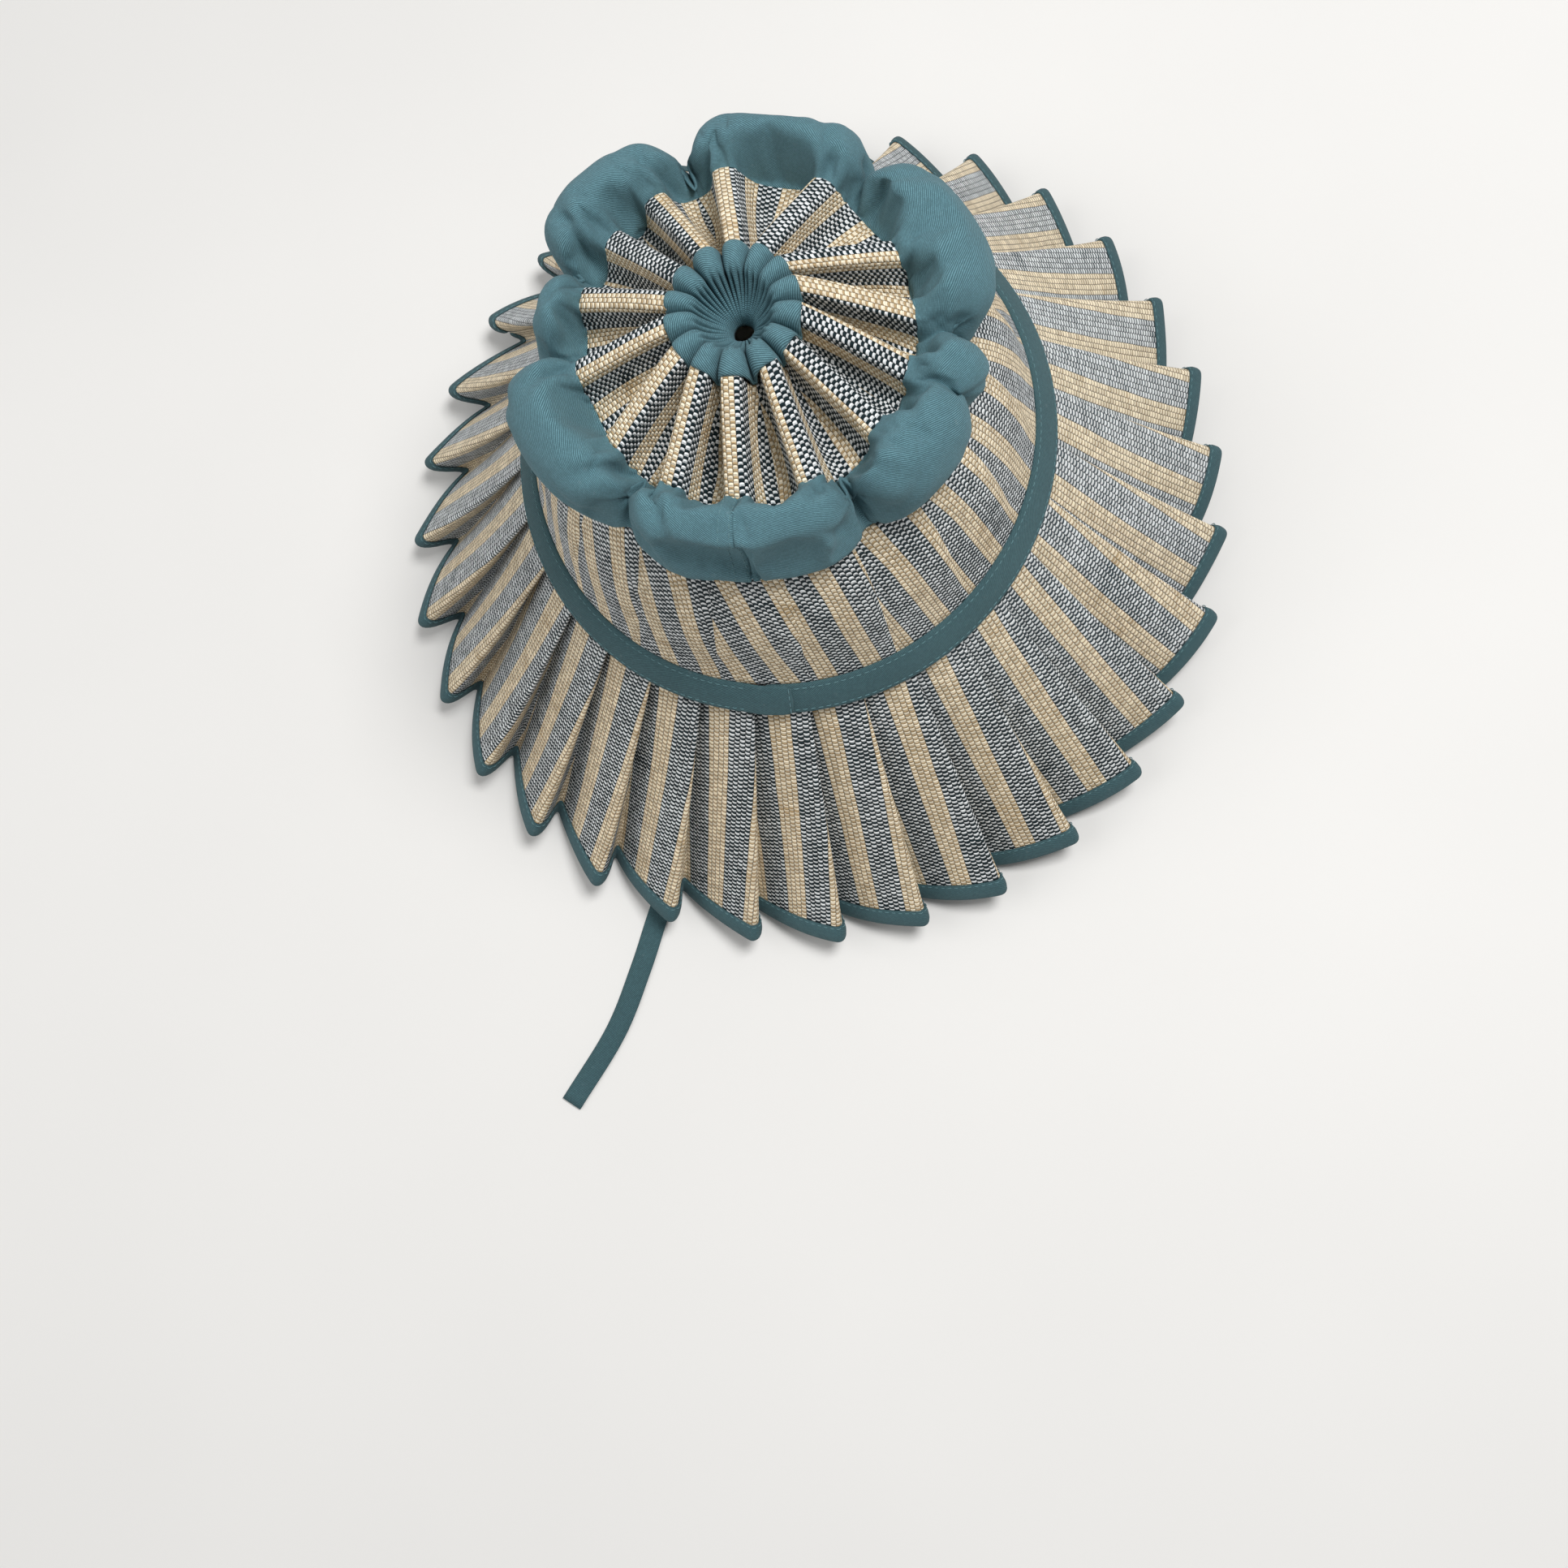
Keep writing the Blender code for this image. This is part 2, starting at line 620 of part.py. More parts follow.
def make_tie():
    """The flat tie: down inside the brim, then along the surface and out under a ridge."""
    start = place(TIE_ANGLE, TIE_RADIUS, TRIM_Z - SWEATBAND_BELOW_TRIM - TIE_TAB_HEIGHT - CLEARANCE)
    curve = np.array(smooth_route((start, *TIE_ROUTE), 4))
    along = np.gradient(curve, axis=0)
    sideways = np.cross((0.0, 0.0, 1.0), curve[-1] - curve[0])
    sideways = sideways / np.linalg.norm(sideways)
    rings = []
    for point, step in zip(curve, along):
        up = np.cross(step, sideways)
        up = up / np.linalg.norm(up)
        across = np.cross(up, step / np.linalg.norm(step))
        ring = []
        for side, face in ((1, 1), (-1, 1), (-1, -1), (1, -1)):
            ring.append(point + across * side * TIE_WIDTH / 2.0 + up * face * TIE_THICKNESS / 2.0)
        rings.append(ring)
    sweep("tie", rings, False, TEAL, 0.85)


def make_tie_tab():
    """The doubled tab on the sweatband's inside that the tie is sewn to."""
    low = TRIM_Z - SWEATBAND_BELOW_TRIM
    half_angle = TIE_WIDTH / 2.0 / HEAD_RADIUS
    path = ((TIE_RADIUS, low + TIE_TAB_HEIGHT), (TIE_RADIUS, low - TIE_TAB_HEIGHT))
    sections = [(TIE_ANGLE + side * half_angle, path) for side in (-1.0, 0.0, 1.0)]
    shell("tie_tab", sections, TIE_THICKNESS, False, TEAL)


PARENT_OF = {
    "puff_band": "crown",
    "crown_top": "crown",
    "centre_binding": "crown",
    "gathering_thread": "crown",
    "crown_seam_tape": "crown",
}


def main():
    for old in list(bpy.data.objects):
        bpy.data.objects.remove(old, do_unlink=True)
    for name in ("hat", "crown"):
        empty = bpy.data.objects.new(name, None)
        bpy.context.scene.collection.objects.link(empty)
    bpy.data.objects["crown"].parent = bpy.data.objects["hat"]
    make_brim()
    make_band_trim()
    make_sweatband()
    make_crown_wall()
    make_puff_band()
    make_crown_top()
    make_centre_binding()
    make_gathering_thread()
    make_crown_seam_tape()
    make_tie()
    make_tie_tab()


main()
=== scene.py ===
"""The dressed sun hat: pleated striped cloth, twill puff and bindings, stitches and the tie, on a pale floor.

Metres, in the part's own frame: +Z up, the back of the hat towards -Y, the floor at 0.
"""

import math

import bpy
import numpy as np
from mathutils import Matrix, Vector


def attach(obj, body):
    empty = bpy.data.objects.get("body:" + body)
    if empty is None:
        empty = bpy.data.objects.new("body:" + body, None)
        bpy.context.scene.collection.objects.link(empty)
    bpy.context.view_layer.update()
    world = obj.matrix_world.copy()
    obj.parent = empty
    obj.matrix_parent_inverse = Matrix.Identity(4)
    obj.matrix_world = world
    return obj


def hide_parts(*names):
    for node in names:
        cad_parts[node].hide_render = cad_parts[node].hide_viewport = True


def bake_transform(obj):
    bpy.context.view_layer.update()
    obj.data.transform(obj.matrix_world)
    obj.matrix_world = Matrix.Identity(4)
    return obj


# The hat's sizes: those of its solids, with the cloth's own folds in place of their plainer ones
HEAD_RADIUS = 0.0900
HEAD_OVAL = 0.020
CLEARANCE = 0.0003
WOVEN_THICKNESS = 0.0008
SWEATBAND_THICKNESS = 0.0010
SWEATBAND_SHARE = 0.12
SWEATBAND_BELOW_TRIM = 0.011
TRIM_WIDTH = 0.0122
TRIM_THICKNESS = 0.0014
TRIM_SLOPE = math.radians(50.0)

PLEATS = 31
PANEL_PLEATS = {"right": 10, "front": 11, "left": 10}
FIRST_RIDGE = math.radians(-94.6)
BRIM_LENGTH = 0.1115
BRIM_TUCK = 0.0055
BRIM_SLOPE_TOP = math.radians(56.0)
BRIM_SLOPE_EDGE = math.radians(49.0)
PLEAT_DEPTH_TOP = 0.0033
PLEAT_DEPTH_EDGE = 0.0205
PLEAT_LAP_TOP = 0.0052
PLEAT_LAP_EDGE = 0.0036
FOLD_DROP_TOP = 0.0011
FOLD_DROP_EDGE = 0.0024
FOLD_ROUND_EDGE = 0.0011
PANEL_BOW = 0.0008
JOIN_GAP = 0.0003
BINDING_WIDTH = 0.0072
BINDING_RIM = 0.0012
BINDING_HALF = WOVEN_THICKNESS / 2.0 + CLEARANCE + 0.0008
REST_CUT = 0.0005

WALL_TUCK = 0.0045
WALL_HEIGHT = 0.0666
WALL_TOP_RADIUS = 0.0680
WALL_BULGE = 0.0050
WALL_TUCKS = 18
WALL_TUCK_DEPTH = 0.0010

CROWN_RADIUS = 0.0537
CROWN_HEIGHT = 0.0905
PUFF_RADIUS = 0.0810
PUFF_FRONT_PULL = 0.0075
PUFF_BACK_PULL = 0.0090
PUFF_RISE = 0.0105
PUFF_EQUATOR = 0.0815
PUFF_HANG = 0.0025
PUFF_OVERHANG = 0.0065
PUFF_CREASES = ((-123, 1.0), (-54, 1.0), (-16, 0.4), (2, 0.9), (55, 0.8), (112, 1.0), (160, 0.9), (187, 0.8))
PUFF_CREASE_WIDTH = math.radians(5.2)
PUFF_CREASE_DEPTH = 0.0195
PUFF_CREASE_POWER = 1.3
PUFF_DENT = math.radians(173.5)
PUFF_DENT_WIDTH = math.radians(13.0)
PUFF_DENT_DEPTH = 0.0100
PUFF_SEAM = math.radians(-87.5)
PUFF_TURNING = 0.0030
LEAN_HEIGHT = 0.150
LEAN_SIDE = -0.055
LEAN_BACK = -0.030

RIDGES_OUTER = (-165, -136, -111, -88, -63, -35, -13, 6, 28, 64, 100, 126, 146, 169)
RIDGES_INNER = (-167, -140, -116, -88, -55, -31, -2, 23, 45, 68, 92, 120, 148, 172)
RIDGE_WIDTH_OUTER = 0.0074
RIDGE_WIDTH_INNER = 0.0058
RIDGE_SHOULDER = 0.14
RIDGE_DEPTH_OUTER = 0.0130
RIDGE_DEPTH_MIDDLE = 0.0045
RIDGE_DEPTH_INNER = 0.0100
CROWN_DOME = 0.0135
CROWN_STRAIGHT = 0.75
BOUND_RADIUS = 0.0212
FUNNEL_RADIUS = 0.0045
FUNNEL_DEPTH = 0.0150
THREAD_DIAMETER = 0.0012
THREAD_OUT = 0.0018
THREAD_TWISTS = 24.0
TAPE_WIDTH = 0.0085
TAPE_LAP = 0.0008
TAPE_THICKNESS = 0.0008

TIE_WIDTH = 0.0088
TIE_THICKNESS = 0.0012
TIE_TAB_HEIGHT = 0.0120
TIE_ANGLE = math.radians(-112.0)
TIE_ROUTE = (
    (-0.0328, -0.0845, 0.0550),
    (-0.0330, -0.0852, 0.0340),
    (-0.0337, -0.0880, 0.0150),
    (-0.0362, -0.0970, 0.0042),
    (-0.0405, -0.1120, 0.0009),
    (-0.0445, -0.1275, 0.0008),
    (-0.0490, -0.1450, 0.0008),
    (-0.0552, -0.1690, 0.0008),
    (-0.0605, -0.1900, 0.0008),
    (-0.0690, -0.2160, 0.0008),
    (-0.0850, -0.2455, 0.0008),
)

# The weave and the twill
BRIM_COLUMN = 0.00215
WALL_COLUMN = 0.00178
CROWN_COLUMN = 0.00160
BRIM_CELL = 0.00200
CROWN_CELL = 0.00185
BEIGE_COLUMNS = 4
STRIPE_COLUMNS = 9
STRIPES_PER_PLEAT = 3
PLEAT_CLOTH = STRIPES_PER_PLEAT * STRIPE_COLUMNS * BRIM_COLUMN
TWILL_PITCH = 0.00060
CREAM = (0.96, 0.845, 0.645)
TAN = (0.53, 0.375, 0.200)
WHITE = (0.80, 0.825, 0.835)
NAVY = (0.005, 0.018, 0.023)
# Painted sheen: the paler navy that the front's cloth is painted towards.
PAINTED_SHEEN_NAVY = (0.135, 0.180, 0.205)
TEAL = (0.122, 0.252, 0.294)
# Painted shade: the darker teal painted into the twill's grooves.
TEAL_PAINTED_GROOVE_SHADE = (0.040, 0.108, 0.130)
TRIM_TEAL = (0.060, 0.130, 0.146)
# Painted shade: the darker teal painted into the trim twill's grooves.
TRIM_PAINTED_GROOVE_SHADE = (0.032, 0.078, 0.090)
DARK_TEAL = (0.040, 0.110, 0.120)
THREAD = (0.090, 0.185, 0.206)
LINT = (0.40, 0.47, 0.48)
FLOOR_GREY = (0.80, 0.79, 0.77)

# Stitches
STITCH_LENGTH = 0.0022
STITCH_STEP = 0.0028
STITCH_RADIUS = 0.00020
STITCH_SIDES = 6
STITCH_FORM = (
    # places along a stitch, its widths and its lifts off the cloth, in lengths and radii
    (-0.5, -0.3, 0.0, 0.3, 0.5),
    (0.35, 0.9, 1.0, 0.9, 0.35),
    (-1.6, 0.0, 0.45, 0.0, -1.6),
)

# The photograph's view, the floor and the light
CAMERA_PLACE = (0.0786, -0.2236, 0.6360)
CAMERA_TARGET = (-0.0057, -0.1104, 0.0)
CAMERA_ROLL = math.radians(-34.03)
LENS_MM = 36.0
SENSOR_MM = 36.0
FLOOR_HALF = 4.0
LAMPS = (
    # name, place, size, power
    ("key", (0.46, 0.16, 1.32), 0.5, 15.0),
    ("fill", (-0.9, -0.25, 0.95), 1.0, 5.0),
)
LIT_POINT = (0.0, 0.0, 0.1)
SURROUND = 0.30

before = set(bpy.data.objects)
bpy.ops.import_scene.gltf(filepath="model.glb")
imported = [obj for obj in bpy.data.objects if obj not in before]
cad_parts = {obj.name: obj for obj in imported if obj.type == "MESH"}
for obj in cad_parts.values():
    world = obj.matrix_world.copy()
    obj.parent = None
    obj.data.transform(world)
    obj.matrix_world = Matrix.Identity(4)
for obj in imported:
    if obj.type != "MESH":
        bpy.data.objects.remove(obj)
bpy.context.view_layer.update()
random = np.random.default_rng(7)


def lerp(start, end, share):
    return start + (end - start) * share


def smooth(low, high, value):
    """0 below low, 1 above high, and a smooth rise between."""
    share = np.clip((np.asarray(value) - low) / (high - low), 0.0, 1.0)
    return share * share * (3.0 - 2.0 * share)


def angle_off(angle, at):
    """How far one angle is past another, from half a turn back to half a turn on."""
    return (angle - at + math.pi) % math.tau - math.pi


def place(angle, radius, height):
    """Points of the hat from their angle round the axis, their radius and their height."""
    angle, radius, height = np.broadcast_arrays(angle, radius, height)
    lean = np.maximum(height - LEAN_HEIGHT, 0.0)
    wide = radius * (1.0 - HEAD_OVAL) * np.cos(angle) + LEAN_SIDE * lean
    deep = radius * (1.0 + HEAD_OVAL) * np.sin(angle) + LEAN_BACK * lean
    return np.stack((wide, deep, height), axis=-1)


def normals_along(points):
    """The mitred normal at each point of a flat path, turned left of its direction."""
    steps = np.diff(points, axis=0)
    steps = steps / np.linalg.norm(steps, axis=1)[:, None]
    sides = np.stack((-steps[:, 1], steps[:, 0]), axis=1)
    mitres = np.vstack((sides[:1], sides[:-1] + sides[1:], sides[-1:]))
    mitres = mitres / np.linalg.norm(mitres, axis=1)[:, None]
    reach = np.einsum("ij,ij->i", mitres, np.vstack((sides[:1], sides)))
    return mitres / np.maximum(reach, 0.5)[:, None]


def run_lengths(points):
    """The distance along a line of points, from its start to each of them."""
    steps = np.linalg.norm(np.diff(points, axis=0), axis=1)
    return np.concatenate(([0.0], np.cumsum(steps)))


def spline(points, steps):
    """Points along a smooth curve through a route, with `steps` to each of its stretches."""
    route = [np.asarray(point, float) for point in points]
    route = [2.0 * route[0] - route[1]] + route + [2.0 * route[-1] - route[-2]]
    curve = []
    for before, here, there, after in zip(route, route[1:], route[2:], route[3:]):
        for t in np.arange(steps) / steps:
            turn = 2.0 * before - 5.0 * here + 4.0 * there - after
            twist = 3.0 * here - before - 3.0 * there + after
            curve.append(0.5 * (2.0 * here + (there - before) * t + turn * t**2 + twist * t**3))
    return np.array(curve + [route[-2]])


# Meshes


def new_object(name, points, faces, uvs, material, body, smooth_levels=0, thickness=None):
    """A smooth-shaded mesh that rides on a body, with one (u, v) in metres for each corner of its faces."""
    mesh = bpy.data.meshes.new(name)
    mesh.from_pydata([tuple(p) for p in points], [], [tuple(f) for f in faces])
    if uvs is not None:
        layer = mesh.uv_layers.new(name="cloth")
        layer.data.foreach_set("uv", np.asarray(uvs, np.float32).ravel())
    mesh.shade_smooth()
    made = bpy.data.objects.new(name, mesh)
    made.data.materials.append(material)
    bpy.context.scene.collection.objects.link(made)
    if smooth_levels:
        rounding = made.modifiers.new("rounding", "SUBSURF")
        rounding.levels = smooth_levels
        rounding.render_levels = smooth_levels
    if thickness:
        cloth = made.modifiers.new("cloth", "SOLIDIFY")
        cloth.thickness = thickness
        cloth.offset = 0.0
    if body:
        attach(made, body)
    return made


def grid_faces(rows, columns, around, along=False):
    """The corners of each face over rows of points that may close around each row and along the rows."""
    r, c = np.meshgrid(np.arange(rows - (not along)), np.arange(columns - (not around)), indexing="ij")
    s, d = (r + 1) % rows, (c + 1) % columns
    corners = (r * columns + c, r * columns + d, s * columns + d, s * columns + c)
    return np.stack(corners, axis=-1).reshape(-1, 4)


def face_uvs(left, right):
    """The (u, v) at each face's corners, from those at its two sides on every row."""
    return np.stack((left[:-1], right[:-1], right[1:], left[1:]), axis=2).reshape(-1, 2)


def cloth_row(u, v):
    """The cloth's (u, v) at each place along a row."""
    return np.stack(np.broadcast_arrays(u, v), axis=-1)


def split_uv(u, v):
    """The two sides of each face column, from the columns' and the rows' own coordinates."""
    both = cloth_row(u[None, :], v[:, None])
    return both[:, :-1], both[:, 1:]


def sheet(name, grid, left, right, closed, material, body, levels=1, thickness=WOVEN_THICKNESS):
    """A sheet over rows of points, with the cloth's (u, v) at both sides of each face."""
    grid = np.array(grid)
    faces = grid_faces(*grid.shape[:2], closed)
    uvs = face_uvs(np.array(left), np.array(right))
    return new_object(name, grid.reshape(-1, 3), faces, uvs, material, body, levels, thickness)


def tube(name, rings, closed, material, body, levels=1):
    """A solid through rings of points, with its ends filled where it isn't a loop."""
    rings = np.array(rings)
    count, size = rings.shape[:2]
    along = run_lengths(np.vstack((rings[:, 0], rings[:1, 0])))[: count + closed]
    around = run_lengths(np.vstack((rings[0], rings[0, :1])))
    both = cloth_row(along[:, None], around[None, :])
    faces = grid_faces(count, size, True, closed).tolist()
    uvs = face_uvs(both[:, :-1], both[:, 1:])
    if not closed:
        faces += [range(size - 1, -1, -1), range((count - 1) * size, count * size)]
        uvs = np.vstack((uvs, np.zeros((2 * size, 2))))
    return new_object(name, rings.reshape(-1, 3), faces, uvs, material, body, levels)


def stitches(name, lines, material, body, step=STITCH_STEP, length=STITCH_LENGTH, radius=STITCH_RADIUS):
    """Short threads along lines of points, each line with the outward normals of the cloth under it."""
    turns = math.tau * np.arange(STITCH_SIDES)[:, None] / STITCH_SIDES
    places, widths, lifts = (np.array(row) for row in STITCH_FORM)
    places, widths, lifts = places * length, widths[:, None, None] * radius, lifts[:, None, None] * radius
    last = (len(places) - 1) * STITCH_SIDES
    form = np.roll(grid_faces(len(places), STITCH_SIDES, True)[:, ::-1], 1, axis=1).tolist()
    form += [range(STITCH_SIDES), range(last + STITCH_SIDES - 1, last - 1, -1)]
    points, faces = [], []
    for line, normals in lines:
        along = run_lengths(line)
        for middle in np.arange(0.5 * step, along[-1] - 0.4 * step, step):
            at = np.stack([np.interp(middle + places, along, column) for column in line.T], axis=1)
            up = np.array([np.interp(middle, along, column) for column in normals.T])
            ahead = at[-1] - at[0]
            ahead = ahead / np.linalg.norm(ahead)
            up = up - ahead * (up @ ahead)
            up = up / np.linalg.norm(up)
            rims = np.cross(ahead, up) * np.cos(turns) + up * np.sin(turns)
            faces += [[len(points) + corner for corner in face] for face in form]
            points += list((at[:, None] + up * lifts + rims * widths).reshape(-1, 3))
    return new_object(name, points, faces, None, material, body)


# Materials


class Graph:
    """A material's nodes, with short ways to add them."""

    def __init__(self, name):
        self.material = bpy.data.materials.new(name)
        self.material.use_nodes = True
        self.tree = self.material.node_tree
        self.shader = self.tree.nodes["Principled BSDF"]

    def set(self, socket, value):
        if isinstance(value, bpy.types.NodeSocket):
            self.tree.links.new(value, socket)
        else:
            socket.default_value = value

    def node(self, kind):
        return self.tree.nodes.new("ShaderNode" + kind)

    def fill(self, node, inputs, output=0):
        """One output of a node, after its inputs are set."""
        for socket, value in inputs.items():
            self.set(node.inputs[socket], value)
        return node.outputs[output]

    def math(self, operation, *values):
        node = self.node("Math")
        node.operation = operation
        return self.fill(node, dict(enumerate(values)))

    def plus(self, first, second):
        return self.math("ADD", first, second)

    def minus(self, first, second):
        return self.math("SUBTRACT", first, second)

    def times(self, first, second):
        return self.math("MULTIPLY", first, second)

    def off_middle(self, value):
        """How far a value's fraction is from a half."""
        return self.math("ABSOLUTE", self.minus(self.math("FRACT", value), 0.5))

    def rise(self, value, low, high):
        """A smooth 0 to 1 as value goes from low to high."""
        node = self.node("MapRange")
        node.interpolation_type = "SMOOTHSTEP"
        return self.fill(node, {"Value": value, "From Min": low, "From Max": high}, "Result")

    def mix(self, share, first, second, blend="MIX"):
        node = self.node("Mix")
        node.data_type = "RGBA"
        node.blend_type = blend
        first, second = ((*c, 1.0) if isinstance(c, tuple) else c for c in (first, second))
        return self.fill(node, {"Factor": share, "A": first, "B": second}, "Result")

    def darken(self, colour, shade):
        """A colour times a shade."""
        return self.mix(1.0, colour, self.vector(shade, shade, shade), "MULTIPLY")

    def vector(self, x, y, z=0.0):
        return self.fill(self.node("CombineXYZ"), {0: x, 1: y, 2: z})

    def noise(self, where, scale, detail=2.0):
        return self.fill(self.node("TexNoise"), {"Vector": where, "Scale": scale, "Detail": detail}, "Fac")

    def speckle(self, where):
        node = self.node("TexWhiteNoise")
        node.noise_dimensions = "3D"
        return self.fill(node, {"Vector": where}, "Value")

    def coordinate(self, where, axis):
        """One of a place's three coordinates."""
        return self.fill(self.node("SeparateXYZ"), {0: where}, axis)

    def cloth_uv(self):
        node = self.node("UVMap")
        node.uv_map = "cloth"
        return self.coordinate(node.outputs[0], 0), self.coordinate(node.outputs[0], 1)

    def place(self):
        return self.node("TexCoord").outputs["Object"]

    def bump(self, height, distance):
        inputs = {"Strength": 1.0, "Distance": distance, "Height": height}
        self.set(self.shader.inputs["Normal"], self.fill(self.node("Bump"), inputs, "Normal"))

    def finish(self, colour, roughness, sheen):
        look = {
            "Base Color": colour,
            "Roughness": roughness,
            "Specular IOR Level": 0.25,
            "Sheen Weight": sheen,
            "Sheen Roughness": 0.6,
        }
        self.fill(self.shader, look)
        return self.material


def woven_material(name, seed, width, length, curl, painted_sheen_and_fold_taper):
    """Hand-woven stripes: staggered cells of cream with tan between, and of white on navy, with slubs.

    width and length are a cell's, curl how much it bows, and the last argument how much paler the front's
    cloth is painted, a painted sheen standing in for the grazing light there.
    """
    g = Graph(name)
    u, v = g.cloth_uv()
    where = g.place()
    wander = g.noise(g.vector(u, g.times(v, 0.12), seed), 260.0)
    u = g.plus(u, g.times(g.minus(wander, 0.5), 0.0010))
    columns = g.math("DIVIDE", u, width)
    column = g.math("FLOOR", columns)
    across = g.off_middle(columns)
    odd = g.times(g.math("FLOORED_MODULO", column, 2.0), 0.5)
    odd = g.plus(odd, g.times(g.speckle(g.vector(column, 0.5, seed)), 0.16))
    bow = g.times(g.times(across, across), curl)
    uneven = g.times(g.noise(g.vector(u, v, seed + 3.0), 140.0), 0.5)
    cells = g.plus(g.math("DIVIDE", v, length), g.plus(odd, g.plus(bow, uneven)))
    within = g.off_middle(cells)
    chance = g.speckle(g.vector(column, g.math("FLOOR", cells), seed + 5.0))
    stripe = g.math("FLOORED_MODULO", column, float(STRIPE_COLUMNS))
    navy = g.math("GREATER_THAN", stripe, BEIGE_COLUMNS - 0.5)
    beige = g.minus(1.0, navy)
    # Painted sheen: towards the front (+Y) the cloth is painted paler, with more white cells and a paler
    # navy, standing in for the grazing light there.
    fading_and_painted_sheen = g.times(g.rise(g.coordinate(where, 1), -0.13, 0.04), painted_sheen_and_fold_taper)
    slub = g.rise(g.noise(g.vector(g.times(u, 0.4), v, seed + 7.0), 90.0, 3.0), 0.60, 0.74)
    worn = g.noise(g.vector(u, v, seed + 11.0), 30.0)
    light_half = 0.185
    chanced = g.minus(chance, 0.5)
    for part, share in ((worn, 0.12), (slub, -0.12), (chanced, 0.08), (fading_and_painted_sheen, 0.08), (beige, 0.065)):
        light_half = g.plus(light_half, g.times(part, share))
    reach = g.math("DIVIDE", within, light_half)
    corner = g.math("POWER", g.times(across, 2.0), 4.0)
    reach = g.plus(reach, g.times(corner, 0.22))
    light = g.minus(1.0, g.rise(reach, 0.84, 1.10))
    # The navy is painted paler towards the front: painted sheen.
    dark = g.mix(navy, TAN, g.mix(g.times(fading_and_painted_sheen, 0.55), NAVY, PAINTED_SHEEN_NAVY))
    colour = g.mix(light, dark, g.mix(navy, CREAM, WHITE))
    colour = g.mix(g.times(g.times(slub, beige), 0.30), colour, TAN)
    # Painted shade: each column is darker towards its sides, where the cells dip between columns.
    edge = g.minus(1.0, g.times(g.rise(across, 0.37, 0.5), 0.66))
    # Painted shade: a dark line where light and dark cells meet.
    painted_crease_shade = g.rise(g.math("ABSOLUTE", g.minus(reach, 1.0)), 0.0, 0.30)
    painted_crease_shade = g.plus(0.62, g.times(painted_crease_shade, 0.38))
    # The random tone from cell to cell is the cloth's own; the painted shade above multiplies it.
    shade = g.plus(0.82, g.times(chance, 0.28))
    shade = g.times(shade, g.times(edge, painted_crease_shade))
    colour = g.darken(colour, shade)
    pillow = g.minus(1.0, g.math("POWER", g.times(across, 2.0), 3.0))
    wave = g.math("COSINE", g.times(g.math("FRACT", cells), 4.0 * math.pi))
    height = g.times(pillow, g.plus(0.65, g.times(wave, 0.35)))
    g.bump(height, 0.00045)
    return g.finish(colour, 0.85, 0.02)


def twill_material(name, face, painted_groove_shade, lint=0.10):
    """Cotton twill: fine diagonal ribs of short yarns, with painted shade in the grooves between ribs and
    between yarns, a little faded and linty.
    """
    g = Graph(name)
    u, v = g.cloth_uv()
    wander = g.times(g.noise(g.vector(u, v, 1.0), 260.0), 0.0004)
    across = g.minus(g.times(v, 0.866), g.times(u, 0.50))
    along = g.plus(g.times(u, 0.866), g.times(v, 0.50))
    ribs = g.math("DIVIDE", g.plus(across, wander), TWILL_PITCH)
    yarns = g.plus(g.math("DIVIDE", along, TWILL_PITCH * 1.2), g.times(g.math("FLOOR", ribs), 0.5))
    chance = g.speckle(g.vector(g.math("FLOOR", ribs), g.math("FLOOR", yarns), 4.0))
    raised = g.minus(1.0, g.rise(g.off_middle(ribs), 0.20, 0.44))
    raised = g.times(raised, g.minus(1.0, g.times(g.rise(g.off_middle(yarns), 0.3, 0.5), 0.25)))
    # The grooves between ribs and between yarns are painted darker: painted shade in the recesses.
    colour = g.mix(raised, painted_groove_shade, face)
    shade = g.plus(0.90, g.times(chance, 0.20))
    # Random fading across the twill: the cloth's own tone, not light.
    fading_and_painted_sheen = g.noise(g.place(), 38.0, 3.0)
    shade = g.times(shade, g.plus(0.88, g.times(fading_and_painted_sheen, 0.24)))
    colour = g.darken(colour, shade)
    fluff = g.rise(g.noise(g.place(), 420.0, 3.0), 0.64, 0.82)
    colour = g.mix(g.times(fluff, lint), colour, LINT)
    g.bump(raised, 0.00013)
    return g.finish(colour, 0.82, 0.05)


def thread_material(name, colour):
    """Sewing thread: two plies twisted together."""
    g = Graph(name)
    where = g.place()
    shade = g.plus(0.82, g.times(g.noise(where, 2500.0), 0.36))
    tint = g.darken(g.mix(g.noise(where, 90.0), colour, tuple(1.25 * c for c in colour)), shade)
    g.bump(g.noise(where, 3000.0), 0.0001)
    return g.finish(tint, 0.7, 0.1)


def floor_material():
    g = Graph("floor")
    mottle = g.plus(0.97, g.times(g.noise(g.place(), 6.0), 0.06))
    return g.finish(g.darken(FLOOR_GREY, mottle), 0.9, 0.0)


# The last argument of each is how strongly the front is painted paler, as painted sheen.
woven_brim = woven_material("woven_brim", 1.0, BRIM_COLUMN, BRIM_CELL, 0.8, 1.0)
woven_wall = woven_material("woven_wall", 21.0, WALL_COLUMN, BRIM_CELL, 0.8, 0.3)
woven_crown = woven_material("woven_crown", 41.0, CROWN_COLUMN, CROWN_CELL, 0.45, 0.0)
twill = twill_material("twill", TEAL, TEAL_PAINTED_GROOVE_SHADE)
twill_trim = twill_material("twill_trim", TRIM_TEAL, TRIM_PAINTED_GROOVE_SHADE, 0.14)
# The sweatband's grooves are painted at 0.6 of its teal: painted shade.
cotton = twill_material("sweatband_cotton", DARK_TEAL, tuple(0.6 * c for c in DARK_TEAL))
thread = thread_material("thread", THREAD)
dark_thread = thread_material("dark_thread", DARK_TEAL)

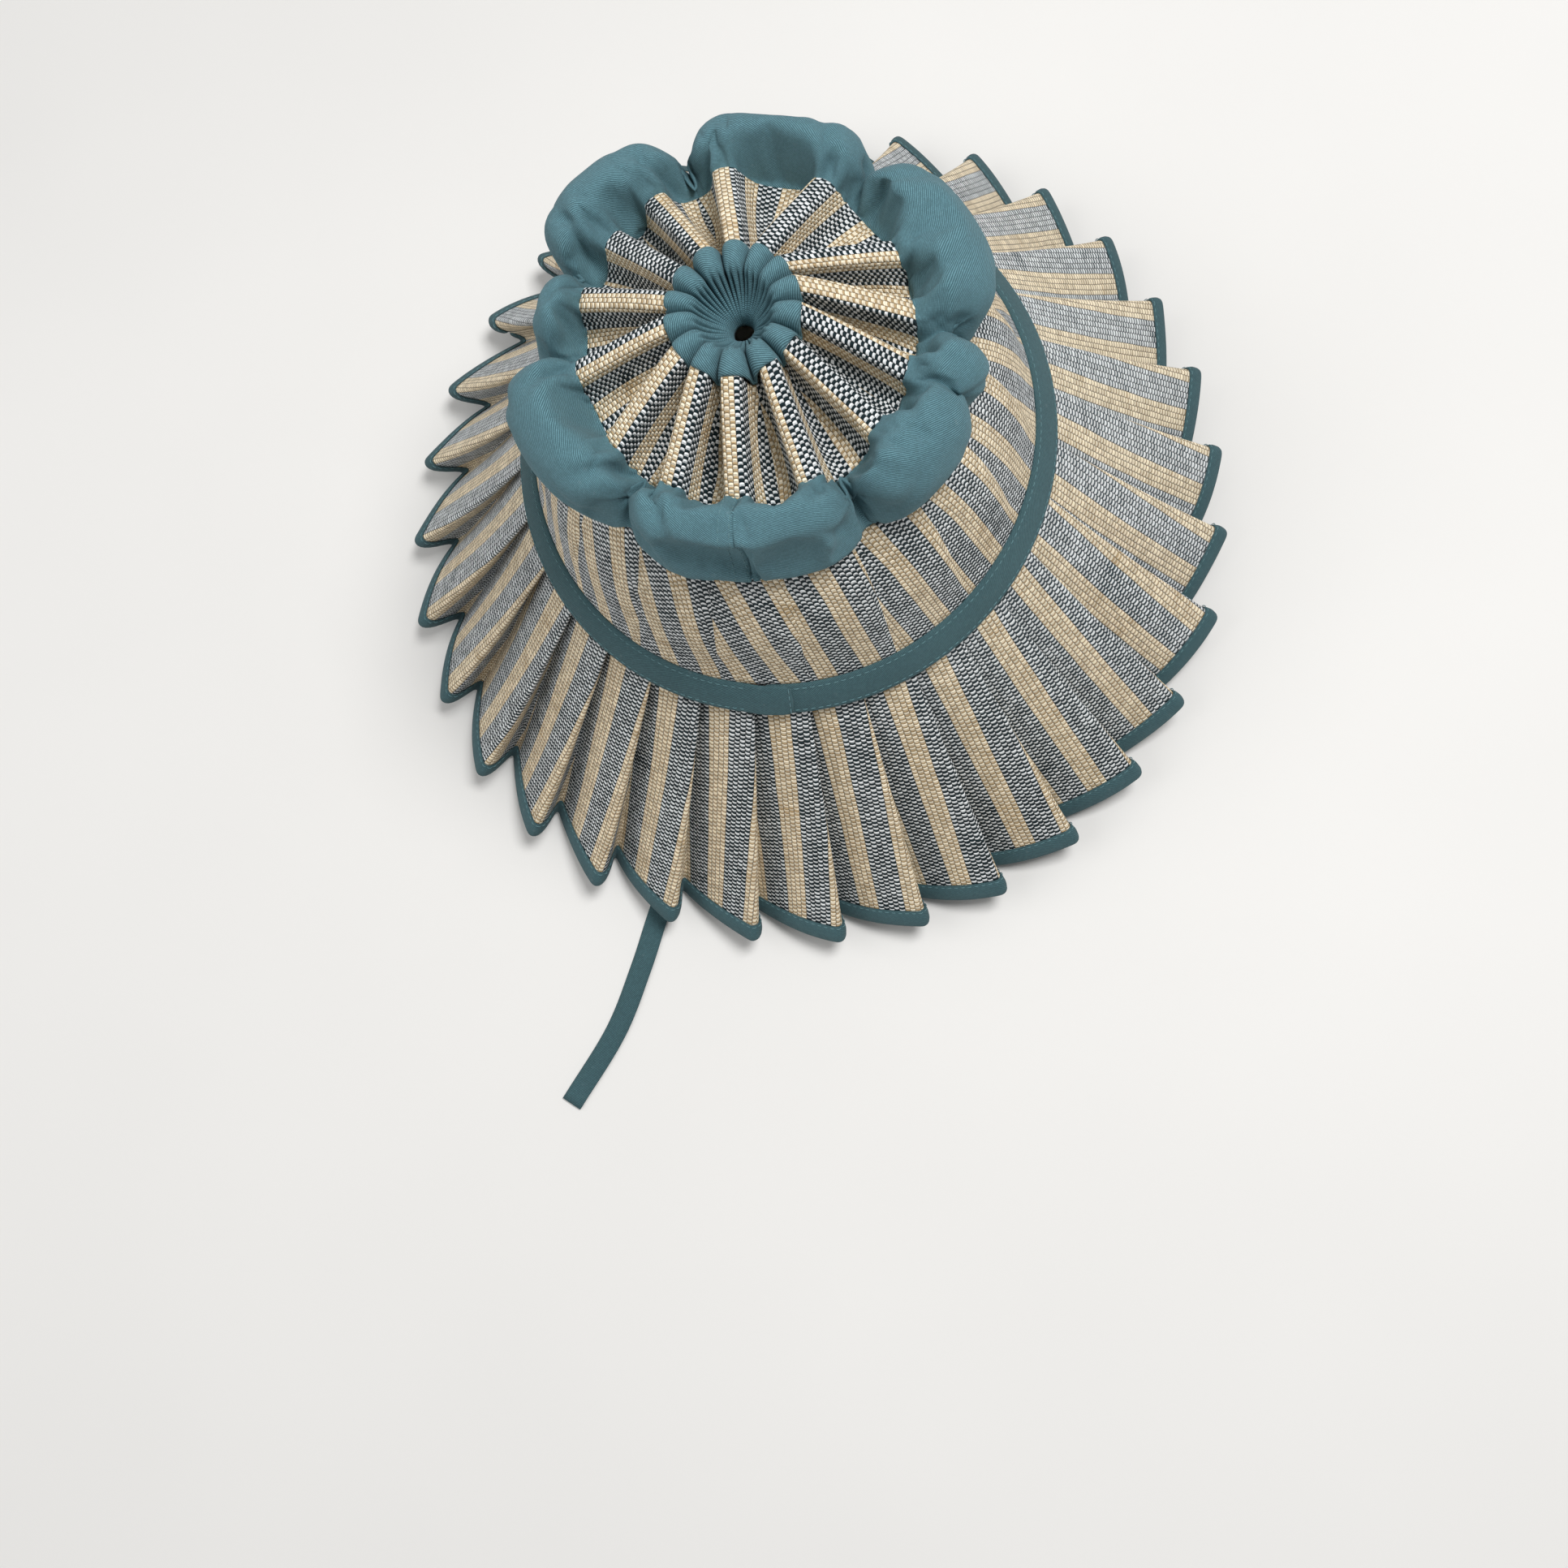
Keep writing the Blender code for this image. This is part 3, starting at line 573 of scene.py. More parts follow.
# The line of the trim: its lower edge is where the brim starts, at the height TRIM_Z

TRIM_NORMAL = np.array((math.sin(TRIM_SLOPE), math.cos(TRIM_SLOPE)))
TRIM_DOWN = np.array((math.cos(TRIM_SLOPE), -math.sin(TRIM_SLOPE)))
WALL_RADIUS = HEAD_RADIUS + SWEATBAND_THICKNESS + CLEARANCE + WOVEN_THICKNESS / 2.0
TRIM_UPPER_RADIUS = WALL_RADIUS + WOVEN_THICKNESS / 2.0 + CLEARANCE + TRIM_THICKNESS / 2.0 * TRIM_NORMAL[0]
BRIM_UNDER_TRIM = TRIM_THICKNESS / 2.0 + CLEARANCE + WOVEN_THICKNESS / 2.0 + PLEAT_DEPTH_TOP / 2.0
PITCH = math.tau / PLEATS
TIE_RADIUS = HEAD_RADIUS - CLEARANCE - TIE_THICKNESS / 2.0


def brim_slope(share):
    """The brim's slope below the horizontal. What is tucked under the trim lies along it."""
    if share < 0.0:
        return TRIM_SLOPE
    return lerp(BRIM_SLOPE_TOP, BRIM_SLOPE_EDGE, min(share, 1.0))


def brim_line(share):
    """The brim's middle line from the trim's lower edge, as (outwards, upwards), at a share of its length."""
    steps = 24
    slopes = np.array([brim_slope(share * (i + 0.5) / steps) for i in range(steps)])
    return np.array((np.cos(slopes).sum(), -np.sin(slopes).sum())) * BRIM_LENGTH * share / steps


def edge_share(beyond):
    return 1.0 + beyond / BRIM_LENGTH


def lowest_point():
    """How far the binding's valleys reach below the trim's lower edge."""
    share = edge_share(CLEARANCE + BINDING_RIM)
    half_depth = lerp(PLEAT_DEPTH_TOP, PLEAT_DEPTH_EDGE, share) / 2.0
    sunk = BRIM_UNDER_TRIM * TRIM_NORMAL[1] - brim_line(share)[1]
    return sunk + (half_depth + BINDING_HALF) * math.cos(brim_slope(share))


TRIM_Z = lowest_point() - REST_CUT
TRIM_LOWER = np.array((TRIM_UPPER_RADIUS + TRIM_WIDTH * TRIM_DOWN[0], TRIM_Z))
BRIM_START = TRIM_LOWER - TRIM_NORMAL * BRIM_UNDER_TRIM

# The brim: each fold a little unlike the next

FOLD_SHIFT = random.uniform(-0.0011, 0.0011, PLEATS)
FOLD_DEPTH = random.uniform(0.88, 1.0, PLEATS)
PANEL_WAVE = random.uniform(0.0, math.tau, PLEATS)
PANEL_PHASE = random.uniform(-0.0045, 0.0045, PLEATS) + BEIGE_COLUMNS / 2.0 * BRIM_COLUMN
PANEL_PARTS = (0.06, 0.25, 0.5, 0.75, 0.94)


def fold_bends(share, fold, arc):
    """The four bends of one fold, at a share of the brim's length: (along the arc, off the middle line)."""
    number = fold % PLEATS
    share = max(share, 0.0)
    ridge = fold * arc + FOLD_SHIFT[number] * share
    depth = lerp(PLEAT_DEPTH_TOP, PLEAT_DEPTH_EDGE * FOLD_DEPTH[number], share) / 2.0
    lap = lerp(PLEAT_LAP_TOP, PLEAT_LAP_EDGE, share) / 2.0
    drop = lerp(FOLD_DROP_TOP, FOLD_DROP_EDGE, share)
    soft = lerp(0.0, FOLD_ROUND_EDGE, share)
    bends = (
        (ridge + lap - soft, depth),
        (ridge + lap + soft, depth - drop),
        (ridge - lap - soft, drop - depth),
        (ridge - lap + soft, -depth),
    )
    return [np.array(bend) for bend in bends]


def panel_path(share, first, count):
    """The zigzag of a length of brim cloth, with the cloth's own coordinate at both sides of each stretch."""
    radius = (BRIM_START + brim_line(share))[0]
    arc = radius * PITCH
    path, left, right = [], [], []

    def run(points, start):
        """Adds a folded stretch to the path, with the cloth coordinate running on from its start."""
        if path:
            points = [path[-1]] + points
        else:
            path.append(points[0])
        along = start + run_lengths(np.array(points))
        left.extend(along[:-1])
        right.extend(along[1:])
        path.extend(points[1:])

    for k in range(count + 1):
        ridge_top, ridge_side, valley_side, valley_bottom = fold_bends(share, first + k, arc)
        middle = (ridge_side + valley_side) / 2.0
        along = (valley_side - ridge_side) / np.linalg.norm(valley_side - ridge_side)
        if k == 0:
            run([middle + along * JOIN_GAP / 2.0, valley_side, valley_bottom], 0.0)
            continue
        number = (first + k) % PLEATS
        start = path[-1]
        width = np.linalg.norm(ridge_top - start)
        points = []
        for part in PANEL_PARTS:
            wave = math.sin(5.0 * share + 2.0 * part + PANEL_WAVE[number])
            bow = PANEL_BOW * share * (1.0 + 0.9 * wave) * 4.0 * part * (1.0 - part)
            points.append(lerp(start, ridge_top, part) + np.array((0.0, bow)))
        points += [ridge_top, ridge_side]
        if k < count:
            points += [valley_side, valley_bottom]
        else:
            points.append(middle - along * JOIN_GAP / 2.0)
        run(points, PLEAT_CLOTH * (first + k) + PANEL_PHASE[number] - width / 2.0)
    return np.array(path), np.array(left), np.array(right), radius


def brim_points(share, flat, radius):
    """Points of the brim from their places along the arc and off the middle line."""
    slope = brim_slope(share)
    base = BRIM_START + brim_line(share)
    angle = FIRST_RIDGE + flat[:, 0] / radius
    return place(angle, base[0] + math.sin(slope) * flat[:, 1], base[1] + math.cos(slope) * flat[:, 1])


def brim_line_at(beyond, offset, first, count):
    """A line along the pleats, at a distance past the cloth's edge and off its middle."""
    share = edge_share(beyond)
    path, _, _, radius = panel_path(share, first, count)
    return brim_points(share, path + normals_along(path) * offset, radius)


def rounded(points):
    """A line with its corners cut twice, as its rounded cloth runs."""
    for _ in range(2):
        start, end = points[:-1], points[1:]
        inner = np.stack((0.75 * start + 0.25 * end, 0.25 * start + 0.75 * end), axis=1)
        points = np.vstack((points[:1], inner.reshape(-1, 3), points[-1:]))
    return points


BRIM_SHARES = (-BRIM_TUCK / BRIM_LENGTH, 0.0, 0.04, 0.12, 0.22, 0.33, 0.44, 0.55, 0.66, 0.77, 0.87, 0.94, 1.0)
BINDING_SECTION = (
    (-BINDING_WIDTH, 0.00078),
    (-0.0062, 0.00112),
    (-0.0044, 0.00172),
    (-0.0016, 0.00178),
    (0.0008, 0.00120),
    (0.0012, 0.0),
    (0.0008, -0.00120),
    (-0.0016, -0.00160),
    (-0.0044, -0.00158),
    (-0.0062, -0.00110),
    (-BINDING_WIDTH, -0.00078),
    (-BINDING_WIDTH, -0.00050),
    (0.0002, -0.00045),
    (0.0002, 0.00045),
    (-BINDING_WIDTH, 0.00050),
)
BINDING_STITCH_IN = 0.0062
BINDING_STITCH_OFFS = (0.00105, 0.00205)


def make_brim():
    """Three lengths of pleated cloth, each with its folded tape and that tape's stitches."""
    first = 0
    for side, count in PANEL_PLEATS.items():
        rows, left, right = [], [], []
        for share in BRIM_SHARES:
            path, u_left, u_right, radius = panel_path(share, first, count)
            rows.append(brim_points(share, path, radius))
            left.append(cloth_row(u_left, share * BRIM_LENGTH))
            right.append(cloth_row(u_right, share * BRIM_LENGTH))
        panel = sheet(f"brim_cloth_{side}", rows, left, right, False, woven_brim, "hat", 2)
        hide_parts(f"brim_{side}")
        lines = [brim_line_at(beyond, offset, first, count) for beyond, offset in BINDING_SECTION]
        rings = np.array(lines).transpose(1, 0, 2)
        binding = tube(f"brim_tape_{side}", rings, False, twill_trim, "hat", 2)
        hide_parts(f"brim_binding_{side}")
        lines = []
        for face in (1.0, -1.0):
            line, outer = (
                rounded(brim_line_at(-BINDING_STITCH_IN, face * off, first, count))
                for off in BINDING_STITCH_OFFS
            )
            lines.append((line, outer - line))
        sewn = stitches(f"brim_stitches_{side}", lines, thread, "hat")
        first += count


# The trim, the wall and the sweatband

TRIM_SECTION = (
    (0.0000, -0.0001),
    (0.0002, 0.00052),
    (0.0015, 0.00060),
    (0.0032, 0.00092),
    (0.0061, 0.00105),
    (0.0090, 0.00092),
    (0.0107, 0.00060),
    (0.0120, 0.00044),
    (0.0124, -0.0005),
    (0.0120, -0.00075),
    (0.0061, -0.00070),
    (0.0004, -0.00068),
)
TRIM_JOIN = math.radians(-91.0)
TRIM_OVERLAP = math.radians(7.0)
TRIM_STEPS = 150
TRIM_LAP = 0.0010
TRIM_STITCH_IN = 0.0016
TRIM_STITCH_OFF = 0.00068
TRIM_END_IN = math.radians(0.9)
TRIM_END_OFF = 0.0019
TRIM_END_MARGIN = 0.0006


def trim_point(angle, up_slope, off):
    base = TRIM_LOWER - TRIM_DOWN * up_slope + TRIM_NORMAL * off
    return place(angle, base[0], base[1])


def trim_stitches(angles, ups, off):
    """A line along the trim for its stitches, with the cloth's normals under it."""
    line = np.array([trim_point(angle, up, off) for angle in angles for up in ups])
    outer = np.array([trim_point(angle, up, off + 0.001) for angle in angles for up in ups])
    return line, outer - line


def make_trim():
    """The twill tape round the join, its turned end lapped over its start at the back."""
    angles = TRIM_JOIN + np.linspace(0.0, math.tau + TRIM_OVERLAP, TRIM_STEPS)
    rings = []
    for angle in angles:
        lap = TRIM_LAP * smooth(math.tau - 0.06, math.tau - 0.01, angle - TRIM_JOIN)
        rings.append([trim_point(angle, up, off + lap) for up, off in TRIM_SECTION])
    trim = tube("band_tape", rings, False, twill_trim, "hat")
    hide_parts("band_trim")
    edges = (TRIM_STITCH_IN, TRIM_WIDTH - TRIM_STITCH_IN)
    lines = [trim_stitches(angles[:-4], [up], TRIM_STITCH_OFF) for up in edges]
    ups = np.linspace(TRIM_END_MARGIN, TRIM_WIDTH - TRIM_END_MARGIN, 8)
    lines.append(trim_stitches([angles[-1] - TRIM_END_IN], ups, TRIM_END_OFF))
    return trim, stitches("band_stitches", lines, thread, "hat")


def wall_point(share):
    """The wall's middle line: upright under the trim, then drawn in to the puff band."""
    foot = np.array((WALL_RADIUS, TRIM_Z + WALL_TUCK))
    top = np.array((WALL_TOP_RADIUS, TRIM_Z + WALL_HEIGHT))
    bend = np.array((WALL_RADIUS - WALL_BULGE, lerp(foot[1], top[1], 0.62)))
    return foot * (1.0 - share) ** 2 + bend * 2.0 * share * (1.0 - share) + top * share**2


def wall_along():
    along = wall_point(1.0) - wall_point(0.84)
    return along / np.linalg.norm(along)


WALL_SHARES = (0.0, 0.04, 0.08, 0.12, 0.2, 0.3, 0.4, 0.5, 0.6, 0.7, 0.8, 0.88, 0.94, 1.0)
WALL_STEPS = (0.0, 0.06, 0.2, 0.4, 0.6, 0.8, 0.94)
WALL_CLOTH = 0.0352
WALL_LIP = 0.00135
WALL_LIP_WIDTH = 0.0045
WALL_FOLDS = random.uniform(0.5, 2.0, WALL_TUCKS)
WALL_SKEW = random.uniform(0.06, 0.30, WALL_TUCKS)


def make_wall():
    """The striped wall, in shallow tucks lapped one way."""
    steps = np.array(WALL_STEPS)
    pitch = math.tau / WALL_TUCKS
    angles = np.concatenate([(k + steps) * pitch for k in range(WALL_TUCKS)])
    tilt = np.tile(steps / WALL_STEPS[-1] - 0.5, WALL_TUCKS) * np.repeat(WALL_FOLDS, len(steps))
    skew = np.repeat(WALL_SKEW, len(steps))
    trim_top = TRIM_Z + TRIM_WIDTH * math.sin(TRIM_SLOPE)
    heights = run_lengths(np.array([wall_point(share) for share in WALL_SHARES]))
    grid, left, right = [], [], []
    ends = np.append(steps[1:], 1.0)
    for share, up in zip(WALL_SHARES, heights):
        radius, height = wall_point(share)
        free = 16.0 * (share * (1.0 - share)) ** 2
        lip = WALL_LIP * math.exp(-(((height - trim_top) / WALL_LIP_WIDTH) ** 2))
        grid.append(place(angles, radius + lip + WALL_TUCK_DEPTH * tilt * free, height))
        width = radius * pitch
        starts = WALL_CLOTH * np.repeat(np.arange(WALL_TUCKS), len(steps)) + skew * up
        u_left = starts + (np.tile(steps, WALL_TUCKS) - 0.5) * width
        u_right = starts + (np.tile(ends, WALL_TUCKS) - 0.5) * width
        left.append(cloth_row(u_left, up))
        right.append(cloth_row(u_right, up))
    wall = sheet("crown_wall_cloth", grid, left, right, True, woven_wall, None)
    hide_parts("crown_wall")
    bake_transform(wall)


SWEATBAND_STITCH_OFF = 0.00055
RING = np.linspace(0.0, math.tau, 121)


def make_sweatband():
    """The cotton band inside the head opening, its edges turned and sewn."""
    inset = np.array((WALL_RADIUS - HEAD_RADIUS - SWEATBAND_THICKNESS / 2.0, 0.0))
    foot = wall_point(0.0) - inset
    low = np.array((foot[0], TRIM_Z - SWEATBAND_BELOW_TRIM))
    top = wall_point(SWEATBAND_SHARE) - inset
    path = np.vstack((top, lerp(top, foot, 0.5), foot, lerp(foot, low, 0.33), lerp(foot, low, 0.67), low))
    grid = [place(RING[:-1], radius, height) for radius, height in path]
    left, right = split_uv(RING * HEAD_RADIUS, run_lengths(path))
    band = sheet(
        "sweatband_cloth", grid, left, right, True, cotton, "hat", 1, SWEATBAND_THICKNESS
    )
    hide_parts("sweatband")
    lines = []
    for at in (lerp(low, foot, 0.12), lerp(top, foot, 0.2)):
        lines.append((place(RING, at[0] - SWEATBAND_STITCH_OFF, at[1]), place(RING, -1.0, 0.0)))
    sewn = stitches("sweatband_stitches", lines, dark_thread, "hat")


# The crown


def crown_share(radius):
    return min((CROWN_RADIUS - radius) / (CROWN_RADIUS - BOUND_RADIUS), 1.0)


RIDGE_PHASE = (0.0, 7.0, -3.2, -1.0, 3.7, 7.4, 0.0, 7.4, 0.0, 7.4, 0.0, 7.4, 0.0, 7.4)
RIDGE_ROUND = ((0.0, 0.0), (0.50, 0.05), (0.80, 0.24), (0.95, 0.60), (1.0, 1.0))
FLANK_ROUND = ((0.10, 0.38), (0.25, 0.70), (0.46, 0.90), (0.74, 0.98), (1.0, 1.0))
RIDGE_COLUMNS = 2 * (len(RIDGE_ROUND) + len(FLANK_ROUND)) - 2


def ridge_angles(radius):
    """The ridges' angles at a radius: each runs straight from its outer end to its inner one."""
    outer = CROWN_RADIUS * np.exp(1j * np.radians(RIDGES_OUTER))
    inner = BOUND_RADIUS * np.exp(1j * np.radians(RIDGES_INNER))
    steps = np.linspace(-0.15, 1.15, 131)[:, None]
    lines = lerp(outer, inner, steps)
    angles = np.unwrap(np.angle(lines), axis=0)
    across = [np.interp(-radius, -np.abs(lines[:, k]), angles[:, k]) for k in range(len(outer))]
    return list(np.unwrap(across))


def crown_bends(radius):
    """Angles round the crown at a radius, with the cloth's depth at each: 0 on a ridge, 1 in a valley."""
    share = crown_share(radius)
    ridges = ridge_angles(radius)
    edge = lerp(RIDGE_WIDTH_OUTER, RIDGE_WIDTH_INNER, share) / 2.0 / max(radius, BOUND_RADIUS)
    angles, falls = [], []
    for k, ridge in enumerate(ridges):
        for side, j in ((-1.0, k), (1.0, (k + 1) % len(ridges))):
            half = (ridges[j] - ridges[j - 1]) % math.tau / 2.0
            shoulder = min(edge, 0.7 * half)
            steps = [shoulder * step for step, _ in RIDGE_ROUND]
            deep = [RIDGE_SHOULDER * fall for _, fall in RIDGE_ROUND]
            steps += [lerp(shoulder, half, step) for step, _ in FLANK_ROUND]
            deep += [lerp(RIDGE_SHOULDER, 1.0, fall) for _, fall in FLANK_ROUND]
            if side < 0.0:
                steps, deep = steps[:0:-1], deep[:0:-1]
            else:
                steps, deep = steps[:-1], deep[:-1]
            angles += [ridge + side * step for step in steps]
            falls += deep
    return np.array(angles), np.array(falls)


def crown_fall(angles, radius):
    """How deep the crown's cloth lies at any angles."""
    bends, falls = crown_bends(radius)
    return np.interp(angles, bends, falls, period=math.tau)


def crown_top_height(radius):
    share = crown_share(radius)
    rise = lerp(math.sin(share * math.pi / 2.0), share, CROWN_STRAIGHT)
    return TRIM_Z + CROWN_HEIGHT + CROWN_DOME * rise


def ridge_depth(radius):
    share = max(crown_share(radius), 0.0)
    return lerp(RIDGE_DEPTH_OUTER, RIDGE_DEPTH_INNER, share) + RIDGE_DEPTH_MIDDLE * math.sin(math.pi * share)


CROWN_ENDS = ((0.0013, 0.0040), (0.0012, 0.0014), (0.0004, 0.0002))
CROWN_ROWS = 12
CROWN_EDGE = 0.0012
CROWN_UNDER_TWILL = 0.0006
RIDGE_SHIFT = 0.0837


def make_crown_top():
    """The striped disc in radial ridges: its stripes run along each ridge and are lost in the valleys."""
    rows = [(CROWN_RADIUS + out, drop) for out, drop in CROWN_ENDS]
    flat = np.linspace(CROWN_RADIUS - CROWN_EDGE, BOUND_RADIUS - CROWN_UNDER_TWILL, CROWN_ROWS)
    rows += [(radius, 0.0) for radius in flat]
    grid, left, right = [], [], []
    for radius, drop in rows:
        angles, falls = crown_bends(radius)
        line = place(angles, radius, crown_top_height(radius) - drop - ridge_depth(radius) * falls)
        grid.append(line)
        line = np.vstack((line, line[:1]))
        u_left, u_right = [], []
        for k, phase in enumerate(RIDGE_PHASE):
            along = run_lengths(line[k * RIDGE_COLUMNS : (k + 1) * RIDGE_COLUMNS + 1])
            along = along - along[RIDGE_COLUMNS // 2] + 0.001 * phase + RIDGE_SHIFT * k
            u_left.extend(along[:-1])
            u_right.extend(along[1:])
        left.append(cloth_row(u_left, CROWN_RADIUS - radius))
        right.append(cloth_row(u_right, CROWN_RADIUS - radius))
    disc = sheet("crown_top_cloth", grid, left, right, True, woven_crown, "crown")
    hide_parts("crown_top")


CAP_COLUMNS = 44
CAP_WIDTH = 0.0083
CAP_SHARE = 0.94
CAP_ROUND = 2.6
CAP_STITCHES = np.linspace(-0.0030, 0.0030, 13)
CAP_STITCH_IN = 0.0009
CAP_STITCH_LIFT = 0.0017
CAP_STITCH_DEPTH = 0.0088
CENTRE_LEAN = math.radians(64.8)
CENTRE_CLOTH_RADIUS = 0.020
PLEATS_PER_CAP = 3
CENTRE_ROWS = (
    # radius, height over the ridges, depth between the caps, fine pleats' depth, lean of the cloth's face
    (0.0207, -0.0005, 0.0086, 0.0, 0.0),
    (0.0213, 0.0005, 0.0088, 0.0, 0.0),
    (0.0210, 0.0013, 0.0088, 0.0, 0.0),
    (0.0196, 0.0019, 0.0086, 0.0, 0.0),
    (0.0176, 0.0021, 0.0080, 0.0, 0.0),
    (0.0156, 0.0020, 0.0072, 0.0, 0.05),
    (0.0139, 0.0015, 0.0064, 0.0003, 0.15),
    (0.0126, 0.0006, 0.0056, 0.0010, 0.35),
    (0.0117, -0.0008, 0.0048, 0.0019, 0.6),
    (0.0109, -0.0027, 0.0041, 0.0027, 0.8),
    (0.0098, -0.0051, 0.0032, 0.0031, 0.9),
    (0.0083, -0.0080, 0.0021, 0.0027, 0.9),
    (0.0064, -0.0109, 0.0010, 0.0017, 0.9),
    (0.0044, -0.0136, 0.0002, 0.0007, 0.9),
    (0.0039, -0.0166, 0.0001, 0.0006, 0.9),
    (0.0036, -0.0194, 0.0, 0.0006, 0.9),
)


def cap_fall(apart, radius):
    """How deep the twill lies at places off a cap's crest, in caps: 0 on the crest, 1 between two caps."""
    pitch = math.tau * radius / len(RIDGES_INNER)
    off = np.minimum(np.abs(apart) * pitch / (min(CAP_WIDTH, CAP_SHARE * pitch) / 2.0), 1.0)
    return 1.0 - np.sqrt(1.0 - off**CAP_ROUND)


def make_centre():
    """The twill over the ridges' inner ends: a round cap on each, then sharp pleats into the middle."""
    apart = 0.5 * np.sin(math.pi * (np.arange(CAP_COLUMNS) / CAP_COLUMNS - 0.5))
    caps = np.unwrap(np.radians(RIDGES_INNER))
    after = np.append(caps[1:], caps[0] + math.tau)
    before = np.insert(caps[:-1], 0, caps[-1] - math.tau)
    wide = np.where(apart[None, :] < 0.0, (caps - before)[:, None], (after - caps)[:, None])
    angles = (caps[:, None] + apart[None, :] * wide).ravel()
    apart = np.tile(apart, len(caps))
    fine = 2.0 * np.abs((PLEATS_PER_CAP * (apart + 0.5)) % 1.0 - 0.5)
    uneven = np.repeat(random.uniform(0.75, 1.25, len(caps)), CAP_COLUMNS)
    peak = crown_top_height(BOUND_RADIUS)
    grid = []
    for radius, over, depth, pleat, lean in CENTRE_ROWS:
        sunk = depth * cap_fall(apart, radius) + pleat * uneven * fine
        face = lean * CENTRE_LEAN
        grid.append(place(angles, radius + math.sin(face) * sunk, peak + over - math.cos(face) * sunk))
    v = -run_lengths(np.array([row[:2] for row in CENTRE_ROWS]))
    u = np.append(angles, angles[0] + math.tau) * CENTRE_CLOTH_RADIUS
    left, right = split_uv(u, v)
    centre = sheet("centre_twill", grid, left, right, True, twill, "crown")
    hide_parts("centre_binding")
    lines = []
    for ridge in caps:
        off = CAP_STITCHES / (math.tau * BOUND_RADIUS / len(caps))
        height = peak + CAP_STITCH_LIFT - CAP_STITCH_DEPTH * cap_fall(off, BOUND_RADIUS)
        line = place(ridge + CAP_STITCHES / BOUND_RADIUS, BOUND_RADIUS - CAP_STITCH_IN, height)
        lines.append((line, np.tile((0.0, 0.0, 1.0), (len(line), 1))))
    sewn = stitches(
        "centre_stitches", lines, thread, "crown", step=0.0021, length=0.0016, radius=0.00018
    )


def make_gathering_thread():
    """Two plies of thread wound tight round the neck of the gathered centre."""
    height = crown_top_height(BOUND_RADIUS) - FUNNEL_DEPTH + THREAD_DIAMETER
    radius = FUNNEL_RADIUS + THREAD_OUT
    rings = []
    for angle in np.linspace(0.0, math.tau, 181)[:-1]:
        ring = []
        for turn in np.linspace(0.0, math.tau, 13)[:-1]:
            swell = THREAD_DIAMETER / 2.0 * (0.78 + 0.22 * abs(math.cos(turn + THREAD_TWISTS * angle)))
            ring.append(place(angle, radius + swell * math.cos(turn), height + swell * math.sin(turn)))
        rings.append(ring)
    made = tube("gather_thread", rings, True, dark_thread, "crown", 0)
    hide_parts("gathering_thread")


def creases(angle):
    """How far the puff band is drawn in at an angle: 1 in the bottom of a crease, 0 on a puff."""
    total = np.zeros_like(np.asarray(angle, float))
    for at, strength in PUFF_CREASES:
        apart = np.abs(angle_off(angle, math.radians(at)))
        total += strength * np.exp(-((apart / PUFF_CREASE_WIDTH) ** PUFF_CREASE_POWER))
    return np.minimum(total, 1.0)


PUFF_COLUMNS = 360
PUFF_MEASURED = 60
PUFF_STEPS = 4
PUFF_EDGE_LIFT = -0.0012
PUFF_LAP = 0.0004
PUFF_SLACK = 0.0004
PUFF_SETTLE = 0.0042
SEAM_STEPS = np.radians((-1.4, -0.9, -0.5, -0.25, 0.0, 0.25, 0.5, 0.9, 1.4))
SEAM_GROOVE = 0.0010
SEAM_GROOVE_WIDTH = math.radians(0.40)
SEAM_ROWS = np.radians((-4.1, -0.9))
SIM_SCALE = 10.0
SIM_FRAMES = 36
PUFF_FULLNESS = 0.06
PUFF_PRESSURE = 1.5
PUFF_MOST_MOVE = 0.0090
PUFF_HELD = math.radians(1.6)
WALL_CLEAR = 0.0013


def puff_angles():
    """The puff band's columns: even round the hat, and close together at its seam."""
    even = -math.pi + math.tau * np.arange(PUFF_COLUMNS) / PUFF_COLUMNS
    even = even[np.abs(even - PUFF_SEAM) > 1.2 * SEAM_STEPS[-1]]
    return np.sort(np.concatenate((even, PUFF_SEAM + SEAM_STEPS)))


